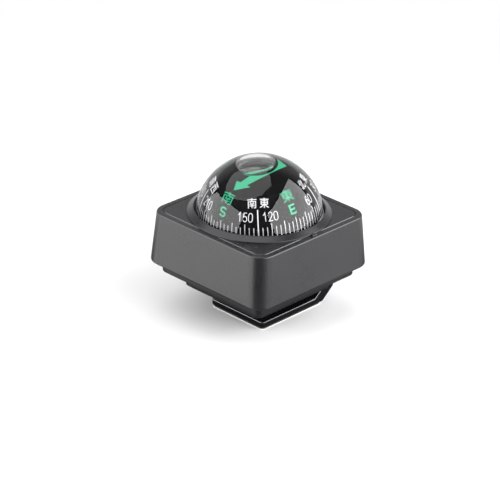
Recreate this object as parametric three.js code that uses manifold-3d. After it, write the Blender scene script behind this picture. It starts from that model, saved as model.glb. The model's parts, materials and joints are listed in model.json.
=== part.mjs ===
// Liquid-filled ball compass for a car dashboard, in millimetres.
// +Z is up, the index mark faces -Y, and the origin is on the surface it stands on,
// under the middle of the square case.

import * as THREE from 'three';
import { mergeVertices } from 'three/addons/utils/BufferGeometryUtils.js';
import Module from 'manifold-3d';

const wasm = await Module();
wasm.setup();

// Case, a square tub that tapers upwards and closes round the capsule
const caseHeight = 18.6;
const caseDraft = 1.35;
const capsuleGap = 0.05;
const caseCornerRadius = 5.9;
const caseWall = 1.9;
const caseFootRound = 0.9;
const footRoundShare = 1 / 3;
const caseTopRound = 0.25;
const rimWidth = 2.1;
const webThickness = 1.2;

// Top bezel, a square plate with a flared collar round the dome
const bezelThickness = 1.6;
const bezelGap = 0.15;
const bezelEdge = 0.25;
const collarRise = 1.7;
const collarInset = 1.75;
const collarFoot = 0.2;
const collarLip = 0.5;
const domeGap = 0.28;

// Index pointer raised on the deck in front of the collar
const pointerWidth = 2.2;
const pointerHeight = 0.6;
const pointerReach = 1.2;

// Capsule: clear dome over a black bowl
const domeRadius = 21.9;
const domeWall = 1.5;
const domeSink = 2.1;
const flangeWidth = 2.3;
const flangeThickness = 1.4;
const bowlWall = 1.5;
const bowlDepth = 12.6;
const bowlFloorRadius = 11;
const sealRadius = 0.5;
const sealSlack = 0.1;
const grooveFloor = 0.45;
const plugRadius = 1.5;
const plugHeadRadius = 2.6;
const plugHeadHeight = 0.9;
const plugMargin = 1.9;
const plugSlotWidth = 0.7;

// Compass card and what carries it
const cardGap = 4.1;
const crownDrop = 4.7;
const cardWall = 0.8;
const cardLift = 0.9;
const cardSkirtDegrees = 6;
const cardLeanDegrees = 4.9;
const cardLeanHeading = 131;
const pivotAboveCard = 4.2;
const rimRingHeight = 0.9;
const rimRingWidth = 1.9;
const rimRingCentring = 1.1;
const spokeWidth = 2.4;
const spokeHeight = 1.4;
const hubWall = 0.9;
const headPlay = 0.8;
const neckPlay = 1;
const jewelShelf = 0.8;
const jewelWall = 0.5;
const jewelHeight = 2;
const jewelDepth = 1.1;
const magnetSide = 2.6;
const magnetSpacing = 13;
const magnetLength = 20;
const clipWall = 0.8;
const retainerThickness = 0.6;
const retainerDrop = 1;

// Pivot post and needle
const postBaseRadius = 3.1;
const postBaseHeight = 1.6;
const postNeckRadius = 0.9;
const postHeadRadius = 2.3;
const postHeadHeight = 0.8;
const needleRadius = 0.35;
const needleReach = 4;
const needleSeat = 2.4;
const needlePoint = 1;
const socketWall = 1.4;

// Bottom cover, a pan with two steps
const coverThickness = 1.6;
const coverInset = 0.4;
const coverEdge = 0.4;
const coverLipMargin = 0.4;
const coverLipRadius = 2.9;
const coverLipDrop = 4;
const plinthStep = 5.8;
const plinthRadius = 2.4;
const plinthDrop = 5.2;
const ringInset = 0.4;

// Cover screws and the bosses that take them
const bossRadius = 2.5;
const bossGap = 0.45;
const screwPadFloor = 1.2;
const screwPadWall = 0.9;
const screwRadius = 1.05;
const screwHeadRadius = 2;
const screwHeadHeight = 1.3;
const screwRecess = 0.5;
const screwBite = 7;
const recessReachShare = 0.6;
const recessArmShare = 0.25;

// Hinge between bottom cover and foot
const barrelRadius = 2.8;
const barrelLength = 12;
const hingeStandOff = 1.6;
const hingeDrop = 0.7;
const earRadius = 3;
const earThickness = 2.5;
const washerThickness = 0.5;
const washerRadius = 2.7;
const pinRadius = 1.25;
const pinHeadRadius = 2.3;
const pinHeadHeight = 1.4;
const nutRadius = 2.7;
const nutHeight = 1.9;
const nutThreadEnd = 0.6;
const pinSlotWidth = 0.6;

// Foot: a stuck-down plate with an arm that rises to the hinge
const footGap = 6.2;
const plateLength = 29.8;
const plateWidth = 24.8;
const plateThickness = 2.2;
const plateRadius = 1.4;
const plateEdge = 0.4;
const armThickness = 4.2;
const armRun = 5.2;
const armSlopeDegrees = 40;
const shoulderGap = 1.3;
const padThickness = 0.6;
const padInset = 0.5;
const linerThickness = 0.2;
const linerOverhang = 0.25;

// Clearances shared by mating pieces
const fitGap = 0.1;
const looseGap = 0.3;
const seatGap = 0.15;
const cut = 1;

// Facets
const roundSteps = 48;
const smallSteps = 18;
const tinySteps = 12;
const arcSteps = 8;
const cornerSteps = 5;
const sealSteps = 6;
const flareSteps = 6;
const bowlSteps = 4;
const nutSides = 6;
const mergeDistance = 1e-5;

// Levels, stacked from the surface up
const padBottom = linerThickness;
const plateBottom = padBottom + padThickness;
const plateTop = plateBottom + plateThickness;
const plinthBottom = plateTop + footGap;
const lipBottom = plinthBottom + plinthDrop;
const caseBottom = lipBottom + coverLipDrop;
const deckTop = caseBottom + caseHeight;
const webTop = deckTop - bezelThickness;
const webBottom = webTop - webThickness;
const domeCentre = deckTop - domeSink;
const collarTop = deckTop + collarRise;
const flangeTop = webBottom;
const jointLevel = flangeTop - flangeThickness;
const grooveDepth = 2 * sealRadius + sealSlack / 2;
const bowlFlangeBottom = jointLevel - grooveDepth - grooveFloor;
const bowlFloor = jointLevel - bowlDepth;
const bowlBottom = bowlFloor - bowlWall;
const cardCentre = domeCentre + cardLift;
const pivotLevel = cardCentre + pivotAboveCard;
const coverFlangeBottom = caseBottom + coverInset;
const coverFlangeTop = coverFlangeBottom + coverThickness;

// Radii and half sides that follow from the driving sizes
const domeInner = domeRadius - domeWall;
const flangeRadius = domeRadius + flangeWidth;
const domeOpening = domeRadius + domeGap;
const lipInner = Math.sqrt(domeRadius ** 2 - (collarTop - domeCentre) ** 2) + domeGap;
const caseTopHalf = flangeRadius + capsuleGap + caseWall;
const caseBottomHalf = caseTopHalf + caseDraft;
const rimInnerHalf = caseTopHalf - rimWidth;
const rimInnerRadius = caseCornerRadius - rimWidth;
const bossX = (flangeRadius + bossGap + bossRadius) / Math.SQRT2;
const lipHalf = bossX + bossRadius + coverLipMargin + coverThickness;
const plinthHalf = lipHalf - plinthStep;
const cardRadius = domeInner - cardGap;
const cardInner = cardRadius - cardWall;
const crownHeight = cardRadius - crownDrop;
const pinBore = pinRadius + seatGap;
const hingeX = plinthHalf + hingeStandOff + barrelRadius;
const hingeZ = lipBottom - hingeDrop - barrelRadius;
const armOuterX = hingeX + barrelRadius;
const plateEndX = armOuterX - armRun;
const plateStartX = plateEndX - plateLength;
const plateMiddleX = (plateStartX + plateEndX) / 2;
const shoulderZ = hingeZ - earRadius - shoulderGap;
const earInnerY = barrelLength / 2 + washerThickness + 2 * fitGap;
const earOuterY = earInnerY + earThickness;
const screwSeat = lipBottom + screwHeadHeight + screwRecess;
const padTop = screwSeat + screwPadFloor;
const hubBore = postHeadRadius + headPlay;
const hubRadius = hubBore + hubWall;
const retainerBore = postNeckRadius + neckPlay;
const jewelRadius = jewelDepth + jewelWall;
const socketInner = postBaseRadius + fitGap;
const socketOuter = socketInner + socketWall;
const plugX = -(socketOuter + plugMargin + plugRadius);

const radians = THREE.MathUtils.degToRad;

// Half side of the tapering case at a height
function caseHalfAt(z) {
  const share = (z - caseBottom) / caseHeight;
  return THREE.MathUtils.lerp(caseBottomHalf, caseTopHalf, share);
}

// A closed geometry as a manifold solid
function solid(geometry) {
  const bare = geometry.clone();
  for (const name of Object.keys(bare.attributes)) {
    if (name !== 'position') bare.deleteAttribute(name);
  }
  const merged = mergeVertices(bare, mergeDistance);
  const index = merged.index.array;
  const kept = [];
  for (let i = 0; i < index.length; i += 3) {
    const [a, b, c] = [index[i], index[i + 1], index[i + 2]];
    if (a !== b && b !== c && c !== a) kept.push(a, b, c);
  }
  const vertProperties = new Float32Array(merged.attributes.position.array);
  return new wasm.Manifold(new wasm.Mesh({ numProp: 3, vertProperties, triVerts: new Uint32Array(kept) }));
}

// A manifold solid as a geometry
function geometryOf(manifold) {
  const mesh = manifold.getMesh();
  const stride = mesh.numProp;
  const count = mesh.vertProperties.length / stride;
  const positions = new Float32Array(3 * count);
  for (let i = 0; i < count; i += 1) {
    for (let k = 0; k < 3; k += 1) positions[3 * i + k] = mesh.vertProperties[stride * i + k];
  }
  const geometry = new THREE.BufferGeometry();
  geometry.setAttribute('position', new THREE.BufferAttribute(positions, 3));
  geometry.setIndex(new THREE.BufferAttribute(new Uint32Array(mesh.triVerts), 1));
  const flat = geometry.toNonIndexed();
  flat.computeVertexNormals();
  return flat;
}

function join(...solids) {
  return solids.reduce((all, next) => all.add(next));
}

function cutAway(body, ...tools) {
  return tools.reduce((left, tool) => left.subtract(tool), body);
}

// Points [radius, height] turned about Z. The profile runs anticlockwise in that plane.
function revolve(profile, steps = roundSteps, closed = false) {
  const points = profile.map(([radius, height]) => new THREE.Vector2(radius, height));
  if (closed) points.push(points[0].clone());
  const lathe = new THREE.LatheGeometry(points, steps);
  lathe.rotateX(Math.PI / 2);
  return solid(lathe);
}

// Arc points in a profile plane, angles in degrees from the radius direction
function arc(centreR, centreZ, radiusR, radiusZ, from, to, steps) {
  return Array.from({ length: steps + 1 }, (_, i) => {
    const angle = radians(from + ((to - from) * i) / steps);
    return [centreR + radiusR * Math.cos(angle), centreZ + radiusZ * Math.sin(angle)];
  });
}

function cylinder(radius, bottom, top, { x = 0, y = 0, steps = smallSteps } = {}) {
  const geometry = new THREE.CylinderGeometry(radius, radius, top - bottom, steps);
  geometry.rotateX(Math.PI / 2);
  geometry.translate(x, y, (bottom + top) / 2);
  return solid(geometry);
}

function cylinderAlongY(radius, from, to, steps = smallSteps) {
  const geometry = new THREE.CylinderGeometry(radius, radius, to - from, steps);
  geometry.translate(0, (from + to) / 2, 0);
  return solid(geometry);
}

function box(xMin, xMax, yMin, yMax, zMin, zMax) {
  const geometry = new THREE.BoxGeometry(xMax - xMin, yMax - yMin, zMax - zMin);
  geometry.translate((xMin + xMax) / 2, (yMin + yMax) / 2, (zMin + zMax) / 2);
  return solid(geometry);
}

// Outline of a rectangle with round corners at one height
function roundedRing({ z, halfX, halfY = halfX, radius, x = 0 }) {
  const centres = [[1, 1, 0], [-1, 1, 90], [-1, -1, 180], [1, -1, 270]];
  return centres.flatMap(([signX, signY, start]) =>
    arc(x + signX * (halfX - radius), signY * (halfY - radius), radius, radius,
      start, start + 90, cornerSteps).map(([px, py]) => [px, py, z]));
}

// A solid through a stack of rounded rings, lowest first
function stack(rings) {
  const outlines = rings.map(roundedRing);
  const count = outlines[0].length;
  const middle = (outline) => {
    const x = (Math.min(...outline.map((p) => p[0])) + Math.max(...outline.map((p) => p[0]))) / 2;
    return [x, 0, outline[0][2]];
  };
  const positions = outlines.flat(2);
  const last = outlines.length - 1;
  positions.push(...middle(outlines[0]), ...middle(outlines[last]));
  const bottomHub = outlines.length * count;
  const index = [];
  for (let i = 0; i < count; i += 1) {
    const next = (i + 1) % count;
    for (let level = 0; level < last; level += 1) {
      const [a, b] = [level * count + i, level * count + next];
      index.push(a, b, b + count, a, b + count, a + count);
    }
    index.push(bottomHub, next, i);
    index.push(bottomHub + 1, last * count + i, last * count + next);
  }
  const geometry = new THREE.BufferGeometry();
  geometry.setAttribute('position', new THREE.Float32BufferAttribute(positions, 3));
  geometry.setIndex(index);
  return solid(geometry);
}

// A shape drawn in X and Z, extruded along Y
function extrudeAlongY(shape, yMin, yMax) {
  const options = { depth: yMax - yMin, bevelEnabled: false, curveSegments: smallSteps };
  const geometry = new THREE.ExtrudeGeometry(shape, options);
  geometry.rotateX(Math.PI / 2);
  geometry.translate(0, yMax, 0);
  return solid(geometry);
}

function polygon(points) {
  return new THREE.Shape(points.map(([x, y]) => new THREE.Vector2(x, y)));
}

// Case

function makeCase() {
  const firstRound = caseFootRound * footRoundShare;
  const outer = stack([
    { z: caseBottom, halfX: caseBottomHalf - caseFootRound, radius: caseCornerRadius - caseFootRound },
    { z: caseBottom + firstRound, halfX: caseBottomHalf - firstRound, radius: caseCornerRadius - firstRound },
    { z: caseBottom + caseFootRound, halfX: caseHalfAt(caseBottom + caseFootRound),
      radius: caseCornerRadius },
    { z: deckTop - caseTopRound, halfX: caseHalfAt(deckTop - caseTopRound), radius: caseCornerRadius },
    { z: deckTop, halfX: caseTopHalf - caseTopRound, radius: caseCornerRadius - caseTopRound },
  ]);
  const innerRadius = caseCornerRadius - caseWall;
  const cavity = stack([
    { z: caseBottom - cut, halfX: caseHalfAt(caseBottom - cut) - caseWall, radius: innerRadius },
    { z: webBottom, halfX: caseHalfAt(webBottom) - caseWall, radius: innerRadius },
  ]);
  const recess = stack([
    { z: webTop, halfX: rimInnerHalf, radius: rimInnerRadius },
    { z: deckTop + cut, halfX: rimInnerHalf, radius: rimInnerRadius },
  ]);
  const opening = cylinder(domeOpening, webBottom - cut, webTop + cut, { steps: roundSteps });
  const shell = cutAway(outer, cavity, recess, opening);
  const bosses = eachCorner((x, y) => cylinder(bossRadius, padTop, webBottom + webThickness / 2, { x, y }));
  const pilots = eachCorner((x, y) =>
    cylinder(screwRadius + fitGap, padTop - cut, padTop + screwBite + cut, { x, y, steps: tinySteps }));
  return cutAway(join(shell, ...bosses), ...pilots);
}

function eachCorner(make) {
  return [[1, 1], [-1, 1], [-1, -1], [1, -1]].map(([signX, signY]) => make(signX * bossX, signY * bossX));
}

// Top bezel

function makeBezel() {
  const half = rimInnerHalf - bezelGap;
  const radius = rimInnerRadius - bezelGap;
  const plate = stack([
    { z: webTop, halfX: half, radius },
    { z: deckTop - bezelEdge, halfX: half, radius },
    { z: deckTop, halfX: half - bezelEdge, radius: radius - bezelEdge },
  ]);
  const footRadius = caseTopHalf - collarInset;
  const lipOuter = lipInner + collarLip;
  const flareWidth = footRadius - lipOuter;
  const flareHeight = collarRise - collarFoot;
  const flare = arc(footRadius, collarTop, flareWidth, flareHeight, 270, 180, flareSteps);
  const collar = revolve([
    [domeOpening, deckTop],
    [footRadius, deckTop],
    ...flare,
    [lipInner, collarTop],
  ], roundSteps, true);
  const bore = cylinder(domeOpening, webTop - cut, deckTop, { steps: roundSteps });
  return join(cutAway(plate, bore), collar, makePointer(footRadius, lipOuter));
}

// The pointer lies on the deck and runs to a point under the flare
function makePointer(footRadius, lipOuter) {
  const plan = polygon([
    [-pointerWidth / 2, -footRadius - pointerReach],
    [pointerWidth / 2, -footRadius - pointerReach],
    [0, -lipOuter],
  ]);
  const prism = new THREE.ExtrudeGeometry(plan, { depth: pointerHeight, bevelEnabled: false });
  prism.translate(0, 0, deckTop);
  return solid(prism);
}

// Capsule

function makeDome() {
  return revolve([
    ...arc(0, domeCentre, domeInner, domeInner, 90, 0, arcSteps),
    [domeInner, jointLevel],
    [flangeRadius, jointLevel],
    [flangeRadius, flangeTop],
    [domeRadius, flangeTop],
    ...arc(0, domeCentre, domeRadius, domeRadius, 0, 90, arcSteps),
  ]);
}

const sealCentre = domeRadius + flangeWidth / 2 - sealRadius;
const grooveHalf = sealRadius + sealSlack;

function makeBowl() {
  const cornerWidth = domeInner - bowlFloorRadius;
  const cornerHeight = bowlFlangeBottom - bowlFloor;
  const outerRadius = domeInner + bowlWall;
  const socketTop = bowlFloor + postBaseHeight;
  const body = revolve([
    [0, bowlBottom],
    [bowlFloorRadius, bowlBottom],
    ...arc(bowlFloorRadius, bowlFlangeBottom, outerRadius - bowlFloorRadius,
      bowlFlangeBottom - bowlBottom, 270, 360, bowlSteps).slice(1),
    [flangeRadius, bowlFlangeBottom],
    [flangeRadius, jointLevel],
    [sealCentre + grooveHalf, jointLevel],
    [sealCentre + grooveHalf, jointLevel - grooveDepth],
    [sealCentre - grooveHalf, jointLevel - grooveDepth],
    [sealCentre - grooveHalf, jointLevel],
    [domeInner, jointLevel],
    ...arc(bowlFloorRadius, bowlFloor + cornerHeight, cornerWidth, cornerHeight, 360, 270, bowlSteps),
    [socketOuter, bowlFloor],
    [socketOuter, socketTop],
    [socketInner, socketTop],
    [socketInner, bowlFloor],
    [0, bowlFloor],
  ]);
  const hole = cylinder(plugRadius + fitGap, bowlBottom - cut, bowlFloor + cut, { x: plugX });
  return cutAway(body, hole);
}

function makeSeal() {
  const level = jointLevel - grooveDepth + sealRadius;
  const section = arc(sealCentre, level, sealRadius, sealRadius, 0, 360, sealSteps).slice(1);
  return revolve(section, roundSteps, true);
}

function makePlug() {
  const head = cylinder(plugHeadRadius, bowlBottom - plugHeadHeight, bowlBottom, { x: plugX });
  const shank = cylinder(plugRadius, bowlBottom - plugHeadHeight / 2, bowlFloor, { x: plugX });
  const reach = plugHeadRadius + cut;
  const slot = box(plugX - reach, plugX + reach, -plugSlotWidth / 2, plugSlotWidth / 2,
    bowlBottom - plugHeadHeight - cut, bowlBottom - plugHeadHeight / 2);
  return cutAway(join(head, shank), slot);
}

// Pivot

const postTop = pivotLevel - needleReach;
const headBottom = postTop - postHeadHeight;

function makePost() {
  return revolve([
    [0, bowlFloor],
    [postBaseRadius, bowlFloor],
    [postBaseRadius, bowlFloor + postBaseHeight],
    [postNeckRadius * 2, bowlFloor + 2 * postBaseHeight],
    [postNeckRadius, headBottom - postHeadHeight],
    [postNeckRadius, headBottom - postHeadHeight / 2],
    [postHeadRadius, headBottom],
    [postHeadRadius, postTop],
    [needleRadius + fitGap, postTop],
    [needleRadius + fitGap, postTop - needleSeat],
    [0, postTop - needleSeat],
  ], smallSteps);
}

function makeNeedle() {
  return revolve([
    [0, postTop - needleSeat],
    [needleRadius, postTop - needleSeat],
    [needleRadius, pivotLevel - needlePoint],
    [0, pivotLevel],
  ], tinySteps);
}

// Card and float, drawn level and then leaned on the pivot

const rimBottom = cardCentre - cardRadius * Math.sin(radians(cardSkirtDegrees));
const ringTop = rimBottom - fitGap;
const ringBottom = ringTop - rimRingHeight;
const skirtRadius = cardRadius * Math.cos(radians(cardSkirtDegrees));
const ringInner = skirtRadius - rimRingWidth;
const hubTop = pivotLevel + looseGap + jewelHeight - jewelDepth;
const jewelBottom = pivotLevel + looseGap - jewelDepth;
const retainerTop = headBottom - retainerDrop;
const retainerBottom = retainerTop - retainerThickness;

// A dome with a flat crown, on which the arrow is printed
function makeCard() {
  const elevation = (height, radius) => THREE.MathUtils.radToDeg(Math.asin(height / radius));
  const innerStart = -elevation(cardCentre - rimBottom, cardInner);
  const innerEnd = elevation(crownHeight - cardWall, cardInner);
  const outerEnd = elevation(crownHeight, cardRadius);
  return revolve([
    [0, cardCentre + crownHeight - cardWall],
    ...arc(0, cardCentre, cardInner, cardInner, innerEnd, innerStart, arcSteps),
    ...arc(0, cardCentre, cardRadius, cardRadius, -cardSkirtDegrees, outerEnd, arcSteps),
    [0, cardCentre + crownHeight],
  ]);
}

function makeFloat() {
  const centringRadius = Math.sqrt(cardInner ** 2 - (cardCentre - rimBottom) ** 2) - seatGap;
  const ring = revolve([
    [ringInner, ringBottom],
    [skirtRadius, ringBottom],
    [skirtRadius, ringTop],
    [centringRadius, ringTop],
    [centringRadius, ringTop + rimRingCentring],
    [ringInner, ringTop + rimRingCentring],
  ], roundSteps, true);
  const roofBottom = hubTop - jewelHeight - jewelShelf;
  const hub = revolve([
    [hubBore, retainerBottom],
    [hubRadius, retainerBottom],
    [hubRadius, roofBottom],
    [jewelRadius + fitGap + clipWall, hubTop],
    [jewelRadius + fitGap, hubTop],
    [jewelRadius + fitGap, jewelBottom - fitGap],
    [jewelDepth + fitGap, jewelBottom - fitGap],
    [jewelDepth + fitGap, roofBottom],
    [hubBore, roofBottom],
  ], smallSteps, true);
  const reach = ringInner + fitGap;
  const spokeTop = ringBottom + spokeHeight;
  const spokes = [
    box(hubRadius - fitGap, reach, -spokeWidth / 2, spokeWidth / 2, ringBottom, spokeTop),
    box(-reach, -hubRadius + fitGap, -spokeWidth / 2, spokeWidth / 2, ringBottom, spokeTop),
    box(-spokeWidth / 2, spokeWidth / 2, hubRadius - fitGap, reach, ringBottom, spokeTop),
    box(-spokeWidth / 2, spokeWidth / 2, -reach, -hubRadius + fitGap, ringBottom, spokeTop),
  ];
  return join(ring, hub, ...spokes, ...makeClips());
}

// Walls under the cross spokes that grip the two magnets
function makeClips() {
  const inner = magnetSide / 2 + fitGap;
  return [-1, 1].flatMap((side) => [-1, 1].map((edge) => {
    const middle = side * magnetSpacing / 2 + edge * (inner + clipWall / 2);
    return box(-spokeWidth / 2, spokeWidth / 2, middle - clipWall / 2, middle + clipWall / 2,
      ringBottom - magnetSide, ringBottom + spokeHeight / 2);
  }));
}

function makeMagnet(side) {
  const y = side * magnetSpacing / 2;
  const top = ringBottom - fitGap;
  const half = magnetSide / 2;
  return box(-magnetLength / 2, magnetLength / 2, y - half, y + half, top - magnetSide, top);
}

function makeJewel() {
  return revolve([
    [0, jewelBottom + jewelDepth],
    [jewelDepth, jewelBottom],
    [jewelRadius, jewelBottom],
    [jewelRadius, jewelBottom + jewelHeight],
    [0, jewelBottom + jewelHeight],
  ], smallSteps);
}

function makeRetainer() {
  return revolve([
    [retainerBore, retainerBottom],
    [hubBore - fitGap, retainerBottom],
    [hubBore - fitGap, retainerTop],
    [retainerBore, retainerTop],
  ], smallSteps, true);
}

// Bottom cover

function makeCover() {
  const flangeHalf = caseHalfAt(coverFlangeTop) - caseWall - bezelGap;
  const flangeRound = caseCornerRadius - caseWall - bezelGap;
  const flange = stack([
    { z: coverFlangeBottom, halfX: flangeHalf, radius: flangeRound },
    { z: coverFlangeTop, halfX: flangeHalf, radius: flangeRound },
  ]);
  const lip = stack([
    { z: lipBottom, halfX: lipHalf - coverEdge, radius: coverLipRadius - coverEdge },
    { z: lipBottom + coverEdge, halfX: lipHalf, radius: coverLipRadius },
    { z: coverFlangeBottom + coverThickness / 2, halfX: lipHalf, radius: coverLipRadius },
  ]);
  const plinth = stack([
    { z: plinthBottom, halfX: plinthHalf - coverEdge, radius: plinthRadius - coverEdge },
    { z: plinthBottom + coverEdge, halfX: plinthHalf, radius: plinthRadius },
    { z: lipBottom + coverThickness / 2, halfX: plinthHalf, radius: plinthRadius },
  ]);
  const lipInside = { halfX: lipHalf - coverThickness, radius: coverLipRadius - coverThickness };
  const lipHollow = stack([
    { z: lipBottom + coverThickness, ...lipInside },
    { z: coverFlangeTop + cut, ...lipInside },
  ]);
  const plinthInside = { halfX: plinthHalf - coverThickness, radius: plinthRadius - coverThickness };
  const plinthHollow = stack([
    { z: plinthBottom + coverThickness, ...plinthInside },
    { z: lipBottom + 2 * coverThickness, ...plinthInside },
  ]);
  const pan = cutAway(join(flange, lip, plinth), lipHollow, plinthHollow);
  const padRadius = screwHeadRadius + looseGap + screwPadWall;
  const pads = eachCorner((x, y) => cylinder(padRadius, lipBottom + coverThickness / 2, padTop, { x, y }));
  const bores = eachCorner((x, y) => cylinder(screwRadius + fitGap, lipBottom - cut, padTop + cut,
    { x, y, steps: tinySteps }));
  const counterbores = eachCorner((x, y) => cylinder(screwHeadRadius + looseGap, lipBottom - cut, screwSeat,
    { x, y }));
  const ears = [makeEar(earInnerY, earOuterY), makeEar(-earOuterY, -earInnerY)];
  return cutAway(join(pan, makeSupportRing(), ...pads, ...ears), ...bores, ...counterbores, hingeBore());
}

// Round wall that presses the capsule's flange up against the case
function makeSupportRing() {
  const inner = domeRadius + looseGap;
  const outer = flangeRadius - ringInset;
  const wall = (bottom, top) => revolve([
    [inner, bottom],
    [outer, bottom],
    [outer, top],
    [inner, top],
  ], roundSteps, true);
  const lower = wall(lipBottom + coverThickness / 2, coverFlangeTop);
  const within = stack([
    { z: lipBottom, halfX: lipHalf - fitGap, radius: coverLipRadius },
    { z: coverFlangeBottom + coverThickness / 2, halfX: lipHalf - fitGap, radius: coverLipRadius },
  ]);
  return join(lower.intersect(within), wall(coverFlangeBottom, bowlFlangeBottom));
}

function makeEar(yMin, yMax) {
  const shape = new THREE.Shape();
  shape.moveTo(plinthHalf - coverThickness / 2, lipBottom + coverThickness / 2);
  shape.lineTo(plinthHalf - coverThickness / 2, hingeZ);
  shape.lineTo(hingeX, hingeZ - earRadius);
  shape.absarc(hingeX, hingeZ, earRadius, -Math.PI / 2, 0, false);
  shape.lineTo(lipHalf - coverEdge, lipBottom + coverThickness / 2);
  return extrudeAlongY(shape, yMin, yMax);
}

function hingeBore() {
  return cylinderAlongY(pinBore, -earOuterY - cut, earOuterY + cut).translate([hingeX, 0, hingeZ]);
}

function makeCoverScrew(x, y) {
  const head = cylinder(screwHeadRadius, screwSeat - screwHeadHeight, screwSeat, { x, y });
  const shank = cylinder(screwRadius, screwSeat - screwHeadHeight / 2, padTop + screwBite,
    { x, y, steps: tinySteps });
  const arm = screwHeadRadius * recessArmShare;
  const reach = screwHeadRadius * recessReachShare;
  const depth = screwSeat - screwHeadHeight / 2;
  const below = screwSeat - screwHeadHeight - cut;
  const cross = join(
    box(x - reach, x + reach, y - arm, y + arm, below, depth),
    box(x - arm, x + arm, y - reach, y + reach, below, depth),
  );
  return cutAway(join(head, shank), cross);
}

// Foot

function makeFoot() {
  const slope = Math.tan(radians(armSlopeDegrees));
  const normalRise = armThickness / Math.cos(radians(armSlopeDegrees));
  const innerCornerX = plateEndX - (normalRise - plateThickness) / slope;
  const innerShoulderX = plateEndX + (shoulderZ - plateBottom - normalRise) / slope;
  const slab = polygon([
    [innerCornerX - plateThickness, plateBottom],
    [plateEndX, plateBottom],
    [armOuterX, plateBottom + slope * armRun],
    [armOuterX, shoulderZ],
    [innerShoulderX, shoulderZ],
    [innerCornerX, plateTop],
    [innerCornerX - plateThickness, plateTop],
  ]);
  const neck = new THREE.Shape();
  neck.moveTo(armOuterX, shoulderZ - plateThickness / 2);
  neck.lineTo(armOuterX, hingeZ);
  neck.absarc(hingeX, hingeZ, barrelRadius, 0, Math.PI, false);
  neck.lineTo(hingeX - barrelRadius, shoulderZ);
  neck.lineTo(innerShoulderX, shoulderZ - plateThickness / 2);
  const barrelHalf = barrelLength / 2;
  const bore = cylinderAlongY(pinBore, -barrelHalf - cut, barrelHalf + cut).translate([hingeX, 0, hingeZ]);
  const arm = extrudeAlongY(slab, -plateWidth / 2, plateWidth / 2);
  const raised = extrudeAlongY(neck, -barrelHalf, barrelHalf);
  return cutAway(join(makePlate(innerCornerX), arm, raised), bore);
}

// The plate's round end, up to where the arm takes over
function makePlate(innerCornerX) {
  const reach = innerCornerX - plateStartX;
  const x = plateStartX + reach / 2 + plateRadius / 2;
  const halfX = reach / 2 + plateRadius / 2;
  const halfY = plateWidth / 2;
  const whole = stack([
    { z: plateBottom, halfX, halfY, radius: plateRadius, x },
    { z: plateTop - plateEdge, halfX, halfY, radius: plateRadius, x },
    { z: plateTop, halfX: halfX - plateEdge, halfY: halfY - plateEdge, radius: plateRadius - plateEdge, x },
  ]);
  const end = box(innerCornerX - plateThickness / 2, innerCornerX + plateLength, -plateWidth, plateWidth,
    plateBottom - cut, plateTop + cut);
  return cutAway(whole, end);
}

function makePad(inset, bottom, top) {
  const halfX = plateLength / 2 - inset;
  const halfY = plateWidth / 2 - inset;
  const ring = { halfX, halfY, radius: plateRadius, x: plateMiddleX };
  return stack([{ z: bottom, ...ring }, { z: top, ...ring }]);
}

// Hinge hardware

function makePin() {
  const headStart = -earOuterY - pinHeadHeight;
  const head = cylinderAlongY(pinHeadRadius, headStart, -earOuterY);
  const shaftEnd = earOuterY + nutHeight + nutThreadEnd;
  const shaft = cylinderAlongY(pinRadius, -earOuterY - pinHeadHeight / 2, shaftEnd);
  const reach = pinHeadRadius + cut;
  const slot = box(-reach, reach, headStart - cut, headStart + pinHeadHeight / 2,
    -pinSlotWidth / 2, pinSlotWidth / 2);
  return cutAway(join(head, shaft), slot).translate([hingeX, 0, hingeZ]);
}

function makeNut() {
  const hexagon = cylinderAlongY(nutRadius, earOuterY, earOuterY + nutHeight, nutSides);
  const thread = cylinderAlongY(pinBore, earOuterY - cut, earOuterY + nutHeight + cut);
  return cutAway(hexagon, thread).translate([hingeX, 0, hingeZ]);
}

function makeWasher(side) {
  const near = barrelLength / 2 + fitGap;
  const far = near + washerThickness;
  const [from, to] = side < 0 ? [-far, -near] : [near, far];
  const disc = cylinderAlongY(washerRadius, from, to);
  const hole = cylinderAlongY(pinBore, from - cut, to + cut);
  return cutAway(disc, hole).translate([hingeX, 0, hingeZ]);
}

// Finishes

function finish(color, roughness, metalness = 0, extra = {}) {
  return new THREE.MeshStandardMaterial({ color, roughness, metalness, ...extra });
}

const caseBlack = finish(0x2b2b2d, 0.55);
const bezelBlack = finish(0x232325, 0.5);
const bowlBlack = finish(0x141415, 0.45);
const cardBlack = finish(0x0c0c0d, 0.6);
const floatWhite = finish(0xd8d8d2, 0.6);
const clear = finish(0xf4f6f6, 0.05, 0, { transparent: true, opacity: 0.25 });
const rubberBlack = finish(0x1a1a1a, 0.85);
const magnetGrey = finish(0x5c5e62, 0.4, 0.9);
const brassYellow = finish(0xb08d4a, 0.35, 1);
const steel = finish(0x9fa3a8, 0.3, 1);
const jewelRed = finish(0x9a2030, 0.1);
const footBlack = finish(0x151517, 0.3);
const nylonWhite = finish(0xe6e4dc, 0.5);
const foamBlack = finish(0x1c1c1d, 0.85);
const paperWhite = finish(0xf3efe4, 0.9);

const part = new THREE.Group();

function place(parent, name, manifold, material) {
  const mesh = new THREE.Mesh(geometryOf(manifold), material);
  mesh.name = name;
  parent.add(mesh);
}

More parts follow.
